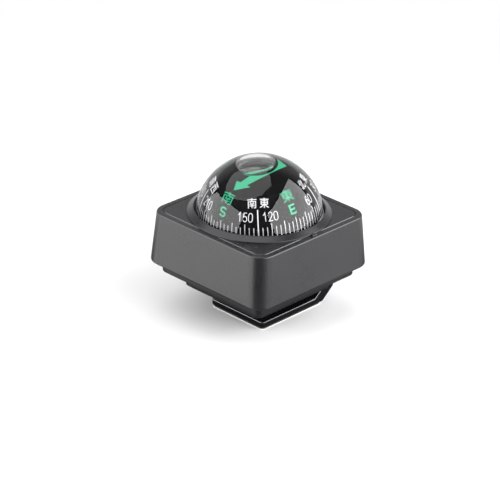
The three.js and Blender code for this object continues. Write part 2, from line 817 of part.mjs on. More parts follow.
place(part, 'case_shell', makeCase(), caseBlack);
place(part, 'top_bezel', makeBezel(), bezelBlack);
place(part, 'clear_dome', makeDome(), clear);
place(part, 'lower_bowl', makeBowl(), bowlBlack);
place(part, 'capsule_seal', makeSeal(), rubberBlack);
place(part, 'filler_plug', makePlug(), nylonWhite);
place(part, 'pivot_post', makePost(), brassYellow);
place(part, 'pivot_needle', makeNeedle(), steel);
place(part, 'bottom_cover', makeCover(), caseBlack);
eachCorner((x, y) => makeCoverScrew(x, y)).forEach((screw, i) =>
  place(part, `cover_screw_${i + 1}`, screw, steel));
place(part, 'hinge_pin', makePin(), steel);
place(part, 'hinge_nut', makeNut(), steel);
place(part, 'friction_washer_front', makeWasher(-1), nylonWhite);
place(part, 'friction_washer_back', makeWasher(1), nylonWhite);
place(part, 'foot_bracket', makeFoot(), footBlack);
place(part, 'adhesive_pad', makePad(padInset, padBottom, plateBottom), foamBlack);
place(part, 'release_liner', makePad(padInset - linerOverhang, 0, padBottom), paperWhite);

// The card group hangs from the needle point, leaning as it floats
const card = new THREE.Group();
card.position.z = pivotLevel;
card.rotation.z = radians(cardLeanHeading);
const lean = new THREE.Group();
lean.rotation.y = radians(cardLeanDegrees);
const heading = new THREE.Group();
heading.rotation.z = -radians(cardLeanHeading);
const hung = new THREE.Group();
hung.position.z = -pivotLevel;
part.add(card);
card.add(lean);
lean.add(heading);
heading.add(hung);
place(hung, 'compass_card', makeCard(), cardBlack);
place(hung, 'card_float', makeFloat(), floatWhite);
place(hung, 'jewel_cup', makeJewel(), jewelRed);
place(hung, 'magnet_left', makeMagnet(1), magnetGrey);
place(hung, 'magnet_right', makeMagnet(-1), magnetGrey);
place(hung, 'card_retainer', makeRetainer(), steel);

export default part;
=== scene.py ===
import json
import math

import bmesh
import bpy
from mathutils import Matrix, Vector


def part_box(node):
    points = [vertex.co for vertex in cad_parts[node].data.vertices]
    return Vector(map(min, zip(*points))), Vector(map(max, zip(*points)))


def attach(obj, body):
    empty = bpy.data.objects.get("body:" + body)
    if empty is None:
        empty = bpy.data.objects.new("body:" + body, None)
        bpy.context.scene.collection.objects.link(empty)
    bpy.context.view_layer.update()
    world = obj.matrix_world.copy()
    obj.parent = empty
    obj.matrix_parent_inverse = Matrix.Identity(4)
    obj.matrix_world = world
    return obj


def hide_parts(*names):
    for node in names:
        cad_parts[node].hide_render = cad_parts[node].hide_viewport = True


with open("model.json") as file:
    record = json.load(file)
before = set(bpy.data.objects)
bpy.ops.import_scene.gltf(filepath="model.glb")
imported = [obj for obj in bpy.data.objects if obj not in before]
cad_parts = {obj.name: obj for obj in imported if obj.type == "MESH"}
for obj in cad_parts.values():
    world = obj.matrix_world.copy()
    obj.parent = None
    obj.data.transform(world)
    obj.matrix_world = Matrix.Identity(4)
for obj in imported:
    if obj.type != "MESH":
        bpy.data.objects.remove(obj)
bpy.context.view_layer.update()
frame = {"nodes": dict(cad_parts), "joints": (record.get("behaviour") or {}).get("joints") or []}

MM = 0.001
TINY = 0.01 * MM

# How far up the normal of a level face points, at the least
LEVEL = 0.999

# Clearances that the pieces share, and what each cut runs past its end
FIT_GAP = 0.1 * MM
SEAT_GAP = 0.15 * MM
LOOSE_GAP = 0.3 * MM
PAST = 1 * MM

# Cover screws
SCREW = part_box("cover_screw_1")
SCREW_PLACE = (SCREW[0] + SCREW[1]).x / 2
SCREW_SUNK = 0.5 * MM
SCREW_HEAD = 2 * MM
SCREW_HEAD_HEIGHT = 1.3 * MM
SCREW_HEAD_ROUND = 0.35 * MM
SCREW_SHANK = 1.05 * MM
SCREW_TIP = 0.4 * MM
SCREW_TIP_LENGTH = 0.6 * MM
CROSS_REACH = 1.2 * MM
CROSS_ARM = 0.3 * MM
CROSS_DEPTH = 0.7 * MM

# Levels of the standing compass
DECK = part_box("case_shell")[1].z
LIP_BOTTOM = SCREW[0].z - SCREW_SUNK
LIP_DROP = 4 * MM
CASE_BOTTOM = LIP_BOTTOM + LIP_DROP
PLINTH_DROP = 5.2 * MM
PLINTH_BOTTOM = LIP_BOTTOM - PLINTH_DROP
CASE_HEIGHT = DECK - CASE_BOTTOM
BEZEL_THICK = 1.6 * MM
WEB_TOP = DECK - BEZEL_THICK
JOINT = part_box("clear_dome")[0].z
DOME_FLANGE = 1.4 * MM
WEB_BOTTOM = JOINT + DOME_FLANGE
DOME_RADIUS = 21.9 * MM
DOME_WALL = 1.5 * MM
DOME_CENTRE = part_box("clear_dome")[1].z - DOME_RADIUS
DOME_INNER = DOME_RADIUS - DOME_WALL
FLANGE_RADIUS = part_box("clear_dome")[1].x
BOWL_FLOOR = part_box("pivot_post")[0].z
BOWL_FLOOR_RADIUS = 11 * MM
BOWL_WALL = 1.5 * MM
BOWL_FLANGE_THICK = 1.5 * MM
BOWL_FLANGE = JOINT - BOWL_FLANGE_THICK
CAPSULE_OVERLAP = 0.3 * MM

# Case and bezel
CASE_WALL = 1.9 * MM
CAPSULE_GAP = 0.05 * MM
CASE_TOP_HALF = FLANGE_RADIUS + CAPSULE_GAP + CASE_WALL
CASE_TAPER = 1.34 * MM
CASE_FOOT_HALF = CASE_TOP_HALF + CASE_TAPER
CASE_CORNER = 5.9 * MM
CASE_FOOT_ROUND = 0.9 * MM
CASE_TOP_ROUND = 0.45 * MM
RIM_WIDTH = 2.1 * MM
RECESS_EDGE = 0.12 * MM
BEZEL_EDGE = 0.28 * MM
DOME_GAP = 0.28 * MM
DOME_OPENING = DOME_RADIUS + DOME_GAP
COLLAR_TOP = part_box("top_bezel")[1].z
COLLAR_FOOT_RADIUS = 24.4 * MM
COLLAR_FOOT = 0.5 * MM
COLLAR_LIP = 0.5 * MM
COLLAR_ROUND = 0.2 * MM
COLLAR_FACING = 60
COLLAR_GAP = 0.5 * MM
COLLAR_INNER = math.sqrt(DOME_RADIUS ** 2 - (COLLAR_TOP - DOME_CENTRE) ** 2) + COLLAR_GAP
POINTER_WIDTH = 2.2 * MM
POINTER_HEIGHT = 0.6 * MM
POINTER_REACH = 1.2 * MM
POINTER_EDGE = 0.15 * MM

# Bottom cover
COVER_WALL = 1.6 * MM
COVER_EDGE = 0.4 * MM
LIP_HALF = 23.7 * MM
LIP_CORNER = 2.9 * MM
PLINTH_HALF = 17.9 * MM
PLINTH_CORNER = 2.4 * MM
COVER_SUNK = 0.4 * MM
FLANGE_BOTTOM = CASE_BOTTOM + COVER_SUNK
FLANGE_TOP = FLANGE_BOTTOM + COVER_WALL
SCREW_SEAT = SCREW[0].z + SCREW_HEAD_HEIGHT
PAD_WALL = 1.2 * MM
PAD_TOP = SCREW_SEAT + PAD_WALL
BOSS_RADIUS = 2.5 * MM
PILOT_DEPTH = 8 * MM

# Hinge
swing = next(j for j in frame["joints"] if j["name"] == "foot_hinge")
HINGE_X, _, HINGE_Z = swing["pos_m"]
BARREL_RADIUS = 2.8 * MM
BARREL_HALF = 6 * MM
EAR_RADIUS = 3 * MM
EAR_INNER = 6.7 * MM
EAR_OUTER = 9.2 * MM
HINGE_EDGE = 0.2 * MM
PIN_RADIUS = 1.25 * MM
PIN_HEAD = 2.3 * MM
PIN_SLOT_HALF = 0.3 * MM
PIN_SLOT_DEPTH = 0.7 * MM
PIN_BORE = PIN_RADIUS + SEAT_GAP
NUT_RADIUS = 2.7 * MM
NUT_HEIGHT = 1.9 * MM
WASHER_RADIUS = 2.65 * MM

# Foot
PLATE_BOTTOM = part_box("foot_bracket")[0].z
PLATE_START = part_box("foot_bracket")[0].x
PLATE_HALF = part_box("foot_bracket")[1].y
PLATE_THICK = 2.2 * MM
PLATE_TOP = PLATE_BOTTOM + PLATE_THICK
PLATE_CORNER = 1.4 * MM
PLATE_EDGE = 0.35 * MM
ARM_OUTER = HINGE_X + BARREL_RADIUS
ARM_RUN = 5.2 * MM
ARM_THICK = 4.2 * MM
ARM_SLOPE = math.radians(40)
# The painted highlight on the foot's top edges stays this far clear of the barrel
HIGHLIGHT_ROOM = 1 * MM
HIGHLIGHT_FROM = BARREL_HALF + HIGHLIGHT_ROOM
SHOULDER_GAP = 1.3 * MM
SHOULDER = HINGE_Z - EAR_RADIUS - SHOULDER_GAP

# Card, drawn level about the middle of its sphere, with angles in degrees
CARD_RADIUS = 16.3 * MM
CARD_WALL = 0.8 * MM
CARD_RAISED = 0.9 * MM
CARD_CENTRE = DOME_CENTRE + CARD_RAISED
CARD_SKIRT = 6
CROWN = 11.6 * MM
CROWN_EDGE = 0.15 * MM
CARD_TURN = 357.63
PRINT = 0.04 * MM

# Prints on the card, and how high they stand on it in degrees
TICK_FOOT = -4.5
TICK_WIDTH = 0.24 * MM
LONG_TICK_WIDTH = 0.38 * MM
NUMERAL_WIDTH = 1.22 * MM
NUMERAL_HEIGHT = 2.7 * MM
NUMERAL_STROKE = 0.22 * MM
NUMERAL_PITCH = 1.7 * MM
NUMERAL_RISE = 22.3
LETTER_WIDTH = 2 * MM
LETTER_HEIGHT = 2.6 * MM
LETTER_STROKE = 0.56 * MM
LETTER_RISE = 23.5
WHITE_SIGN = (2.9 * MM, 3.2 * MM)
WHITE_SIGN_PLACES = (-1.65 * MM, 2.15 * MM)
WHITE_SIGN_RISE = 38.2
GREEN_SIGN = (4.4 * MM, 3.7 * MM)
GREEN_SIGN_RISE = 39.1
SIGN_GRID = 0.8 * MM
LETTER_GRID = 0.7 * MM
STROKE_WALL = 1 * MM

# Bubble under the top of the dome
BUBBLE_RADIUS = 7 * MM
BUBBLE_DEPTH = 3.3 * MM
BUBBLE_EDGE = 1.3 * MM

spin = next(j for j in frame["joints"] if j["name"] == "card_spin")
PIVOT = Vector(spin["pos_m"])
LEAN = Vector((0, 0, 1)).rotation_difference(Vector(spin["axis"])).to_matrix().to_4x4()

# Camera, with angles in degrees and the lens in millimetres
CAMERA_HEADING = 43.869
CAMERA_DROP = 26.4385
CAMERA_ROLL = 1.5606
CAMERA_PLACE = (-0.517753, -0.493806, 0.378317)
CAMERA_LENS = 169.85
CAMERA_SENSOR = 36

# What mirrored rays find on the camera's side, left of it, right of it and behind the compass.
# Sides are turns from the camera in degrees, and their soft ends are in radians.
DARK_GLOW = 0.02
LEFT_GLOW = 2.3
LEFT_SIDE = (36, 106)
RIGHT_GLOW = 1.15
RIGHT_SIDE = (40, 112)
SIDE_SOFT = (0.14, 0.2)
SIDE_TOP_FADE = (-0.22, -0.06)
REAR_GLOW = 0.5
REAR_FADE = (0.35, 0.75)
HORIZON_GLOW = 1.1
HORIZON_FADE = (0.3, 0.6)
HORIZON_TOP_FADE = (0.18, 0.36)

# What other rays find all round, and what rays through the dome find on the camera's side
ROUND_GLOW = 0.25
THROUGH_GLOW = 0.1
THROUGH_FADE = (0.2, 0.6)

# Distances at which the floor's shadow fades out, and at which mirrored rays stop finding it dark
SHADOW_FADE = (0.09, 0.3)
DARK_FADE = (0.04, 0.057)
DARK_BEHIND = 0.05
DARK_BEHIND_FADE = (0, 0.02)

# Corners of the left panel
LEFT_PANEL = ((-0.5025, 1.128, 0.559), (-0.391, -0.108, 0.236), (-0.306, -0.034, -0.019),
              (-0.294, 0.51, -0.06), (-0.361, 1.252, 0.134))


# Bench

def clear_bench():
    if bpy.context.mode != "OBJECT":
        bpy.ops.object.mode_set(mode="OBJECT")
    bpy.ops.object.select_all(action="DESELECT")


def take(piece):
    """Makes one piece the only one selected."""
    clear_bench()
    piece.select_set(True)
    bpy.context.view_layer.objects.active = piece
    return piece


def named(name):
    piece = bpy.context.object
    piece.name = name
    piece.data.name = name
    return piece


def fix(piece):
    """Puts a piece's place into its mesh."""
    take(piece)
    bpy.ops.object.transform_apply(location=True, rotation=True, scale=True)
    return piece


def edit(piece, mode="FACE"):
    take(piece)
    bpy.ops.object.mode_set(mode="EDIT")
    bpy.ops.mesh.select_mode(type=mode)
    bpy.ops.mesh.select_all(action="SELECT")


def done():
    bpy.ops.object.mode_set(mode="OBJECT")


def pick_faces(piece, rule):
    """Selects the faces that a rule picks by their middle and normal."""
    edit(piece)
    mesh = bmesh.from_edit_mesh(piece.data)
    for face in mesh.faces:
        face.select_set(rule(face.calc_center_median(), face.normal))
    mesh.select_flush_mode()
    bmesh.update_edit_mesh(piece.data)


def pick_edges(piece, rule):
    """Selects the edges that a rule picks by their two ends."""
    edit(piece, "EDGE")
    bpy.ops.mesh.select_all(action="DESELECT")
    mesh = bmesh.from_edit_mesh(piece.data)
    for edge in mesh.edges:
        edge.select_set(rule(*(corner.co for corner in edge.verts)))
    mesh.select_flush_mode()
    bmesh.update_edit_mesh(piece.data)


def at_level(level):
    return lambda a, b: abs(a.z - level) < TINY and abs(b.z - level) < TINY


def upright(a, b):
    return abs(a.z - b.z) > 2 * max(abs(a.x - b.x), abs(a.y - b.y))


def bevel_edges(piece, rule, width, segments):
    pick_edges(piece, rule)
    bpy.ops.mesh.bevel(offset=width, segments=segments, affect="EDGES", clamp_overlap=True)
    done()


def block(name, low, high):
    clear_bench()
    low, high = Vector(low), Vector(high)
    bpy.ops.mesh.primitive_cube_add(size=1, location=(low + high) / 2, scale=high - low)
    return fix(named(name))


def rod(name, radius, bottom, top, x=0, y=0, sides=64):
    clear_bench()
    bpy.ops.mesh.primitive_cylinder_add(
        vertices=sides, radius=radius, depth=top - bottom, location=(x, y, (bottom + top) / 2))
    return fix(named(name))


def rod_along_y(name, radius, start, end, x=0, z=0, sides=64):
    clear_bench()
    bpy.ops.mesh.primitive_cylinder_add(
        vertices=sides, radius=radius, depth=end - start, location=(x, (start + end) / 2, z),
        rotation=(math.pi / 2, 0, 0))
    return fix(named(name))


def chain(name, points, closed):
    """A line of edges, drawn by extruding one vertex from point to point."""
    clear_bench()
    bpy.ops.mesh.primitive_plane_add(size=1)
    line = named(name)
    edit(line, "VERT")
    bpy.ops.mesh.merge(type="CENTER")
    bpy.ops.transform.translate(value=points[0])
    for start, end in zip(points, points[1:]):
        step = Vector(end) - Vector(start)
        bpy.ops.mesh.extrude_vertices_move(TRANSFORM_OT_translate={"value": step})
    if closed:
        mesh = bmesh.from_edit_mesh(line.data)
        for corner in mesh.verts:
            corner.select_set(len(corner.link_edges) == 1)
        mesh.select_flush_mode()
        bmesh.update_edit_mesh(line.data)
        bpy.ops.mesh.edge_face_add()
    return line


def turned(name, profile, steps=128, closed=False):
    """A solid turned about Z from its half section, given as radius and height."""
    piece = chain(name, [(radius, 0, height) for radius, height in profile], closed)
    bpy.ops.mesh.select_all(action="SELECT")
    bpy.ops.mesh.spin(steps=steps, angle=math.tau, center=(0, 0, 0), axis=(0, 0, 1))
    bpy.ops.mesh.select_all(action="SELECT")
    bpy.ops.mesh.remove_doubles(threshold=TINY / 10)
    bpy.ops.mesh.select_all(action="SELECT")
    bpy.ops.mesh.normals_make_consistent(inside=False)
    done()
    return piece


def plate(name, outline, thickness):
    """A flat plate from a closed outline of points, thickened along z."""
    piece = chain(name, outline, True)
    bpy.ops.mesh.select_all(action="SELECT")
    bpy.ops.mesh.edge_face_add()
    bpy.ops.mesh.select_all(action="SELECT")
    bpy.ops.mesh.extrude_region_move(TRANSFORM_OT_translate={"value": thickness})
    bpy.ops.mesh.select_all(action="SELECT")
    bpy.ops.mesh.normals_make_consistent(inside=False)
    done()
    return piece


def arc(centre, radii, start, end, steps):
    """Points of an elliptic arc in a section, angles in degrees."""
    turns = [math.radians(start + (end - start) * i / steps) for i in range(steps + 1)]
    return [(centre[0] + radii[0] * math.cos(t), centre[1] + radii[1] * math.sin(t)) for t in turns]


def combine(piece, tool, operation):
    take(piece)
    step = piece.modifiers.new(operation, "BOOLEAN")
    step.operation = operation
    step.object = tool
    step.solver = "EXACT"
    bpy.ops.object.modifier_apply(modifier=step.name)
    bpy.data.objects.remove(tool)
    return piece


def cut(piece, *tools):
    for tool in tools:
        combine(piece, tool, "DIFFERENCE")
    return piece


def fuse(piece, *tools):
    for tool in tools:
        combine(piece, tool, "UNION")
    return piece


def modify(piece, kind, **settings):
    take(piece)
    step = piece.modifiers.new(kind, kind)
    for name, value in settings.items():
        setattr(step, name, value)
    bpy.ops.object.modifier_apply(modifier=step.name)
    return piece


def soften(piece, width, segments, turn=57):
    """Rounds the edges where faces meet at more than a turn in degrees."""
    return modify(piece, "BEVEL", width=width, segments=segments, limit_method="ANGLE",
                  angle_limit=math.radians(turn))


def smooth(piece, degrees=30):
    take(piece)
    bpy.ops.object.shade_smooth_by_angle(angle=math.radians(degrees))
    return modify(piece, "WEIGHTED_NORMAL", keep_sharp=True)


def gather(name, pieces):
    """Joins like pieces into one."""
    clear_bench()
    for piece in pieces:
        piece.select_set(True)
    bpy.context.view_layer.objects.active = pieces[0]
    bpy.ops.object.join()
    return named(name)


def move(piece, matrix):
    piece.matrix_world = matrix @ piece.matrix_world
    return fix(piece)


# Finishes

def colour(red, green, blue):
    """A colour from its three screen values, 0 to 255."""
    def linear(value):
        share = value / 255
        return share / 12.92 if share <= 0.04045 else ((share + 0.055) / 1.055) ** 2.4
    return (linear(red), linear(green), linear(blue), 1)


class Value:
    """A node's output that can stand in a sum, where each sign adds its Math node."""

    def __init__(self, finish, socket):
        self.finish = finish
        self.socket = socket

    def math(self, operation, *terms):
        return self.finish.node("ShaderNodeMath", {"operation": operation}, dict(enumerate(terms)))

    def __add__(self, other):
        return self.math("ADD", self, other)

    def __sub__(self, other):
        return self.math("SUBTRACT", self, other)

    def __rsub__(self, other):
        return self.math("SUBTRACT", other, self)

    def __mul__(self, other):
        return self.math("MULTIPLY", self, other)

    def clamped(self):
        return self.finish.node("ShaderNodeClamp", sockets={"Value": self})

    def between(self, low, high):
        """0 below low, 1 above high, and smooth between them."""
        return self.finish.node(
            "ShaderNodeMapRange", {"interpolation_type": "SMOOTHSTEP"},
            {"Value": self, "From Min": low, "From Max": high})


class Finish:
    """A material or world, and the nodes that make it."""

    def __init__(self, owner):
        self.owner = owner
        owner.use_nodes = True
        self.tree = owner.node_tree
        self.tree.nodes.clear()

    def node(self, kind, settings=None, sockets=None, output=0):
        made = self.tree.nodes.new(kind)
        for name, value in (settings or {}).items():
            setattr(made, name, value)
        for name, value in (sockets or {}).items():
            if isinstance(value, Value):
                self.tree.links.new(value.socket, made.inputs[name])
            else:
                made.inputs[name].default_value = value
        return Value(self, made.outputs[output])

    def place(self):
        return self.node("ShaderNodeTexCoord", output="Object")

    def noise(self, scale, detail=2, roughness=0.5):
        return self.node("ShaderNodeTexNoise", sockets={
            "Vector": self.place(), "Scale": scale, "Detail": detail, "Roughness": roughness})

    def blend(self, share, first, second):
        return self.node(
            "ShaderNodeMix", {"data_type": "RGBA"}, {0: share, 6: first, 7: second}, output=2)

    def bump(self, height, depth):
        return self.node("ShaderNodeBump", sockets={"Height": height, "Distance": depth, "Strength": 1})

    def principled(self, **sockets):
        names = {key.replace("_", " "): value for key, value in sockets.items()}
        return self.node("ShaderNodeBsdfPrincipled", sockets=names)

    def light_path(self, name):
        return self.node("ShaderNodeLightPath", output=name)

    def mix(self, share, first, second):
        return self.node("ShaderNodeMixShader", sockets={0: share, 1: first, 2: second})

    def emission(self, strength):
        return self.node("ShaderNodeEmission", sockets={"Color": (1, 1, 1, 1), "Strength": strength})

    def glow(self, strength):
        return self.node("ShaderNodeBackground", sockets={"Color": (1, 1, 1, 1), "Strength": strength})

    def clear(self):
        return self.node("ShaderNodeBsdfTransparent")

    def along(self, vector, axis):
        """How far a vector reaches along an axis."""
        return self.node(
            "ShaderNodeVectorMath", {"operation": "DOT_PRODUCT"}, {0: vector, 1: axis}, "Value")

    def output(self, surface, kind="ShaderNodeOutputMaterial"):
        self.tree.links.new(surface.socket, self.tree.nodes.new(kind).inputs["Surface"])
        return self.owner


def material(name):
    return Finish(bpy.data.materials.new(name))


def moulded(name, tone, lighter, gloss, grain, depth, specular=0.5, coat=0.0):
    """Moulded plastic: a fine grain, a slow drift of tone and of gloss."""
    finish = material(name)
    fine = finish.noise(scale=1 / grain, detail=3, roughness=0.6)
    slow = finish.noise(scale=90, detail=3)
    speck = finish.noise(scale=0.55 / grain, detail=2)
    base = finish.blend((slow * 0.7 + speck * 0.5 - 0.1).clamped(), tone, lighter)
    rough = (slow - 0.5) * 0.12 + (fine - 0.5) * 0.08 + gloss
    return finish.output(finish.principled(
        Base_Color=base, Roughness=rough, Specular_IOR_Level=specular, IOR=1.5,
        Coat_Weight=coat, Coat_IOR=2.2, Coat_Roughness=0.15,
        Normal=finish.bump(fine, depth)))


def make_clear():
    finish = material("clear_acrylic")
    body = finish.principled(
        Base_Color=(1, 1, 1, 1), Roughness=0.0, IOR=1.43, Transmission_Weight=1.0,
        Specular_IOR_Level=0.62)
    through = finish.node("ShaderNodeBsdfTransparent", sockets={"Color": (0.96, 0.96, 0.96, 1)})
    light = (finish.light_path("Is Shadow Ray") + finish.light_path("Is Diffuse Ray")).clamped()
    return finish.output(finish.mix(light, body, through))


def print_ink(name, tone, worn):
    """Screen-printed ink, a little thin in places."""
    finish = material(name)
    thin = finish.noise(scale=1800, detail=2)
    patch = finish.noise(scale=400, detail=2)
    base = finish.blend((thin * 0.5 + patch * 0.5 - 0.1).clamped(), tone, worn)
    return finish.output(finish.principled(
        Base_Color=base, Roughness=thin * 0.15 + 0.45, Specular_IOR_Level=0.05))


def metal(name, tone, dull, gloss):
    finish = material(name)
    fine = finish.noise(scale=2500, detail=3)
    slow = finish.noise(scale=350, detail=2)
    base = finish.blend(slow, tone, dull)
    return finish.output(finish.principled(
        Base_Color=base, Metallic=1.0, Roughness=(fine - 0.5) * 0.15 + gloss,
        Normal=finish.bump(fine, depth=0.004 * MM)))


def smooth_solid(name, tone, other, gloss, scale, depth):
    """Foam, paper, rubber, nylon and the like."""
    finish = material(name)
    fine = finish.noise(scale, detail=3)
    return finish.output(finish.principled(
        Base_Color=finish.blend(fine, tone, other), Roughness=(fine - 0.5) * 0.1 + gloss,
        Normal=finish.bump(fine, depth)))


COARSE_GRAIN = 0.5 * MM
FINE_GRAIN = 0.3 * MM
CASE_BLACK = moulded("case_black", colour(26, 26, 28), colour(34, 34, 36), gloss=0.3,
                     grain=COARSE_GRAIN, depth=0.055 * MM)
COVER_BLACK = moulded("cover_black", colour(20, 20, 22), colour(27, 27, 29), gloss=0.42,
                      grain=COARSE_GRAIN, depth=0.03 * MM, specular=0.25)
BEZEL_BLACK = moulded("bezel_black", colour(26, 26, 29), colour(33, 33, 36), gloss=0.28,
                      grain=FINE_GRAIN, depth=0.01 * MM)
# Painted highlights for edges: a lighter colour than the plastic, with a glossy coat. The second is dimmer
# and is for the case's top edge.
EDGE_HIGHLIGHT = moulded("rubbed_edge", colour(48, 48, 51), colour(60, 60, 64), gloss=0.25,
                      grain=FINE_GRAIN, depth=0.003 * MM, coat=0.5)
DIM_EDGE_HIGHLIGHT = moulded("worn_edge", colour(34, 34, 36), colour(42, 42, 45), gloss=0.28,
                    grain=FINE_GRAIN, depth=0.003 * MM, coat=0.15)
FOOT_BLACK = moulded("foot_black", colour(12, 12, 14), colour(17, 17, 19), gloss=0.16,
                     grain=COARSE_GRAIN, depth=0.002 * MM, specular=0.33)
BOWL_BLACK = moulded("bowl_black", colour(20, 20, 20), colour(26, 26, 26), gloss=0.4,
                     grain=COARSE_GRAIN, depth=0.005 * MM)
CARD_BLACK = moulded("card_black", colour(10, 10, 11), colour(15, 15, 16), gloss=0.6,
                     grain=FINE_GRAIN, depth=0.004 * MM, specular=0.04)
CLEAR = make_clear()
WHITE_INK = print_ink("white_ink", colour(221, 221, 224), colour(203, 203, 207))
GREEN_INK = print_ink("green_ink", colour(56, 165, 125), colour(51, 152, 115))
STEEL = metal("steel", colour(190, 192, 196), colour(160, 162, 168), gloss=0.28)
MAGNET = metal("magnet_grey", colour(120, 122, 128), colour(92, 94, 99), gloss=0.42)
BRASS = metal("turned_brass", colour(205, 170, 105), colour(176, 138, 78), gloss=0.3)
JEWEL = smooth_solid("jewel_red", colour(150, 24, 40), colour(170, 34, 50),
                     gloss=0.12, scale=900, depth=0.001 * MM)
NYLON = smooth_solid("nylon_white", colour(228, 226, 216), colour(238, 236, 228),
                     gloss=0.45, scale=1200, depth=0.004 * MM)
FLOAT_WHITE = smooth_solid("float_white", colour(214, 214, 206), colour(224, 224, 218),
                           gloss=0.5, scale=1500, depth=0.005 * MM)
RUBBER = smooth_solid("seal_rubber", colour(30, 30, 30), colour(40, 40, 40),
                      gloss=0.8, scale=1500, depth=0.01 * MM)
FOAM = smooth_solid("pad_foam", colour(26, 26, 27), colour(36, 36, 37),
                    gloss=0.85, scale=3000, depth=0.03 * MM)
PAPER = smooth_solid("liner_paper", colour(240, 238, 232), colour(228, 225, 218),
                     gloss=0.6, scale=2200, depth=0.01 * MM)


def dress(piece, finish, slot, body, *nodes):
    """Gives a finished piece its finish and body, and the nodes that it stands for."""
    piece.data.materials.clear()
    piece.data.materials.append(finish)
    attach(piece, body)
    if nodes:
        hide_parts(*nodes)
    return piece


def rub(piece, finish, rule):
    """Paints a highlight on the faces of an edge that a rule picks: a lighter colour with a glossy coat.
    """
    piece.data.materials.append(finish)
    pick_faces(piece, rule)
    piece.active_material_index = len(piece.data.materials) - 1
    bpy.ops.object.material_slot_assign()
    done()
    return piece


def repaint(node, finish):
    mesh = frame["nodes"][node].data
    for place in range(len(mesh.materials)):
        mesh.materials[place] = finish


# Case

def case_half_at(level):
    share = (level - CASE_BOTTOM) / CASE_HEIGHT
    return CASE_FOOT_HALF + (CASE_TOP_HALF - CASE_FOOT_HALF) * share


def corners():
    return [(x * SCREW_PLACE, y * SCREW_PLACE) for x, y in ((1, 1), (-1, 1), (-1, -1), (1, -1))]


def scale_level(piece, rule, ratio):
    pick_faces(piece, rule)
    bpy.ops.transform.resize(value=(ratio, ratio, 1))
    done()


def make_case():
    half = CASE_FOOT_HALF
    case = block("case_body", (-half, -half, CASE_BOTTOM), (half, half, DECK))
    scale_level(case, lambda middle, normal: normal.z > LEVEL, CASE_TOP_HALF / CASE_FOOT_HALF)
    bevel_edges(case, upright, CASE_CORNER, 12)
    bevel_edges(case, at_level(CASE_BOTTOM), CASE_FOOT_ROUND, 5)
    bevel_edges(case, at_level(DECK), CASE_TOP_ROUND, 4)
    pick_faces(case, lambda middle, normal: normal.z > LEVEL and middle.z > DECK - TINY)
    bpy.ops.mesh.inset(thickness=RIM_WIDTH - CASE_TOP_ROUND)
    bpy.ops.mesh.extrude_region_move(TRANSFORM_OT_translate={"value": (0, 0, -BEZEL_THICK)})
    done()
    pick_faces(case, lambda middle, normal: normal.z < -LEVEL and middle.z < CASE_BOTTOM + TINY)
    bpy.ops.mesh.inset(thickness=CASE_WALL - CASE_FOOT_ROUND)
    bpy.ops.mesh.extrude_region_move(
        TRANSFORM_OT_translate={"value": (0, 0, WEB_BOTTOM - CASE_BOTTOM)})
    ratio = (case_half_at(WEB_BOTTOM) - CASE_WALL) / (CASE_FOOT_HALF - CASE_WALL)
    bpy.ops.transform.resize(value=(ratio, ratio, 1))
    done()
    inner = CASE_TOP_HALF - RIM_WIDTH + TINY
    bevel_edges(case, lambda a, b: at_level(DECK)(a, b) and max(map(abs, (*a.xy, *b.xy))) < inner,
                RECESS_EDGE, 2)
    cut(case, rod("opening", DOME_OPENING, WEB_BOTTOM - PAST, WEB_TOP + PAST, sides=128))
    for x, y in corners():
        fuse(case, rod("boss", BOSS_RADIUS, PAD_TOP, (WEB_BOTTOM + WEB_TOP) / 2, x, y, 32))
        cut(case, rod("pilot", SCREW_SHANK + FIT_GAP, PAD_TOP - PAST, PAD_TOP + PILOT_DEPTH, x, y, 24))
    dress(smooth(case), CASE_BLACK, "case_black", "housing", "case_shell")
    # Painted highlight on the faces of the case's top outer rounding that face up and out
    outer = CASE_TOP_HALF - CASE_TOP_ROUND
    return rub(case, DIM_EDGE_HIGHLIGHT, lambda middle, normal: (
        middle.z > DECK - CASE_TOP_ROUND and 0.35 < normal.z < 0.8
        and max(abs(middle.x), abs(middle.y)) > outer))


def make_bezel():
    half = CASE_TOP_HALF - RIM_WIDTH - SEAT_GAP
    bezel = block("bezel", (-half, -half, WEB_TOP), (half, half, DECK))
    bevel_edges(bezel, upright, CASE_CORNER - RIM_WIDTH - SEAT_GAP, 10)
    bevel_edges(bezel, at_level(DECK), BEZEL_EDGE, 3)
    cut(bezel, rod("bore", DOME_OPENING, WEB_TOP - PAST, DECK + PAST, sides=128))
    lip = COLLAR_INNER + COLLAR_LIP
    soft = COLLAR_ROUND
    foot = arc((COLLAR_FOOT_RADIUS - soft, DECK + COLLAR_FOOT - soft), (soft, soft), 0, COLLAR_FACING, 4)
    collar = turned("collar", [
        (DOME_OPENING, DECK - BEZEL_THICK / 2),
        (half - BEZEL_EDGE, DECK - BEZEL_THICK / 2),
        (half - BEZEL_EDGE, DECK),
        (COLLAR_FOOT_RADIUS, DECK),
        *foot,
        *arc((lip - soft, COLLAR_TOP - soft), (soft, soft), COLLAR_FACING, 90, 3),
        (COLLAR_INNER, COLLAR_TOP),
    ], closed=True)
    fuse(bezel, collar, make_pointer(lip))
    dress(smooth(bezel), BEZEL_BLACK, "bezel_black", "housing", "top_bezel")
    # Painted highlight on the faces of the deck's outer rounding
    return rub(bezel, EDGE_HIGHLIGHT, lambda middle, normal: (
        DECK - BEZEL_EDGE < middle.z < DECK and 0.1 < normal.z < 0.97
        and max(abs(middle.x), abs(middle.y)) > half - BEZEL_EDGE))


def make_pointer(lip):
    """A mark raised on the deck, which runs to a point under the flare."""
    outer = COLLAR_FOOT_RADIUS + POINTER_REACH
    pointer = plate("pointer", [
        (-POINTER_WIDTH / 2, -outer, DECK),
        (POINTER_WIDTH / 2, -outer, DECK),
        (0, -lip, DECK),
    ], (0, 0, POINTER_HEIGHT))
    bevel_edges(pointer, at_level(DECK + POINTER_HEIGHT), POINTER_EDGE, 2)
    return pointer


# Capsule

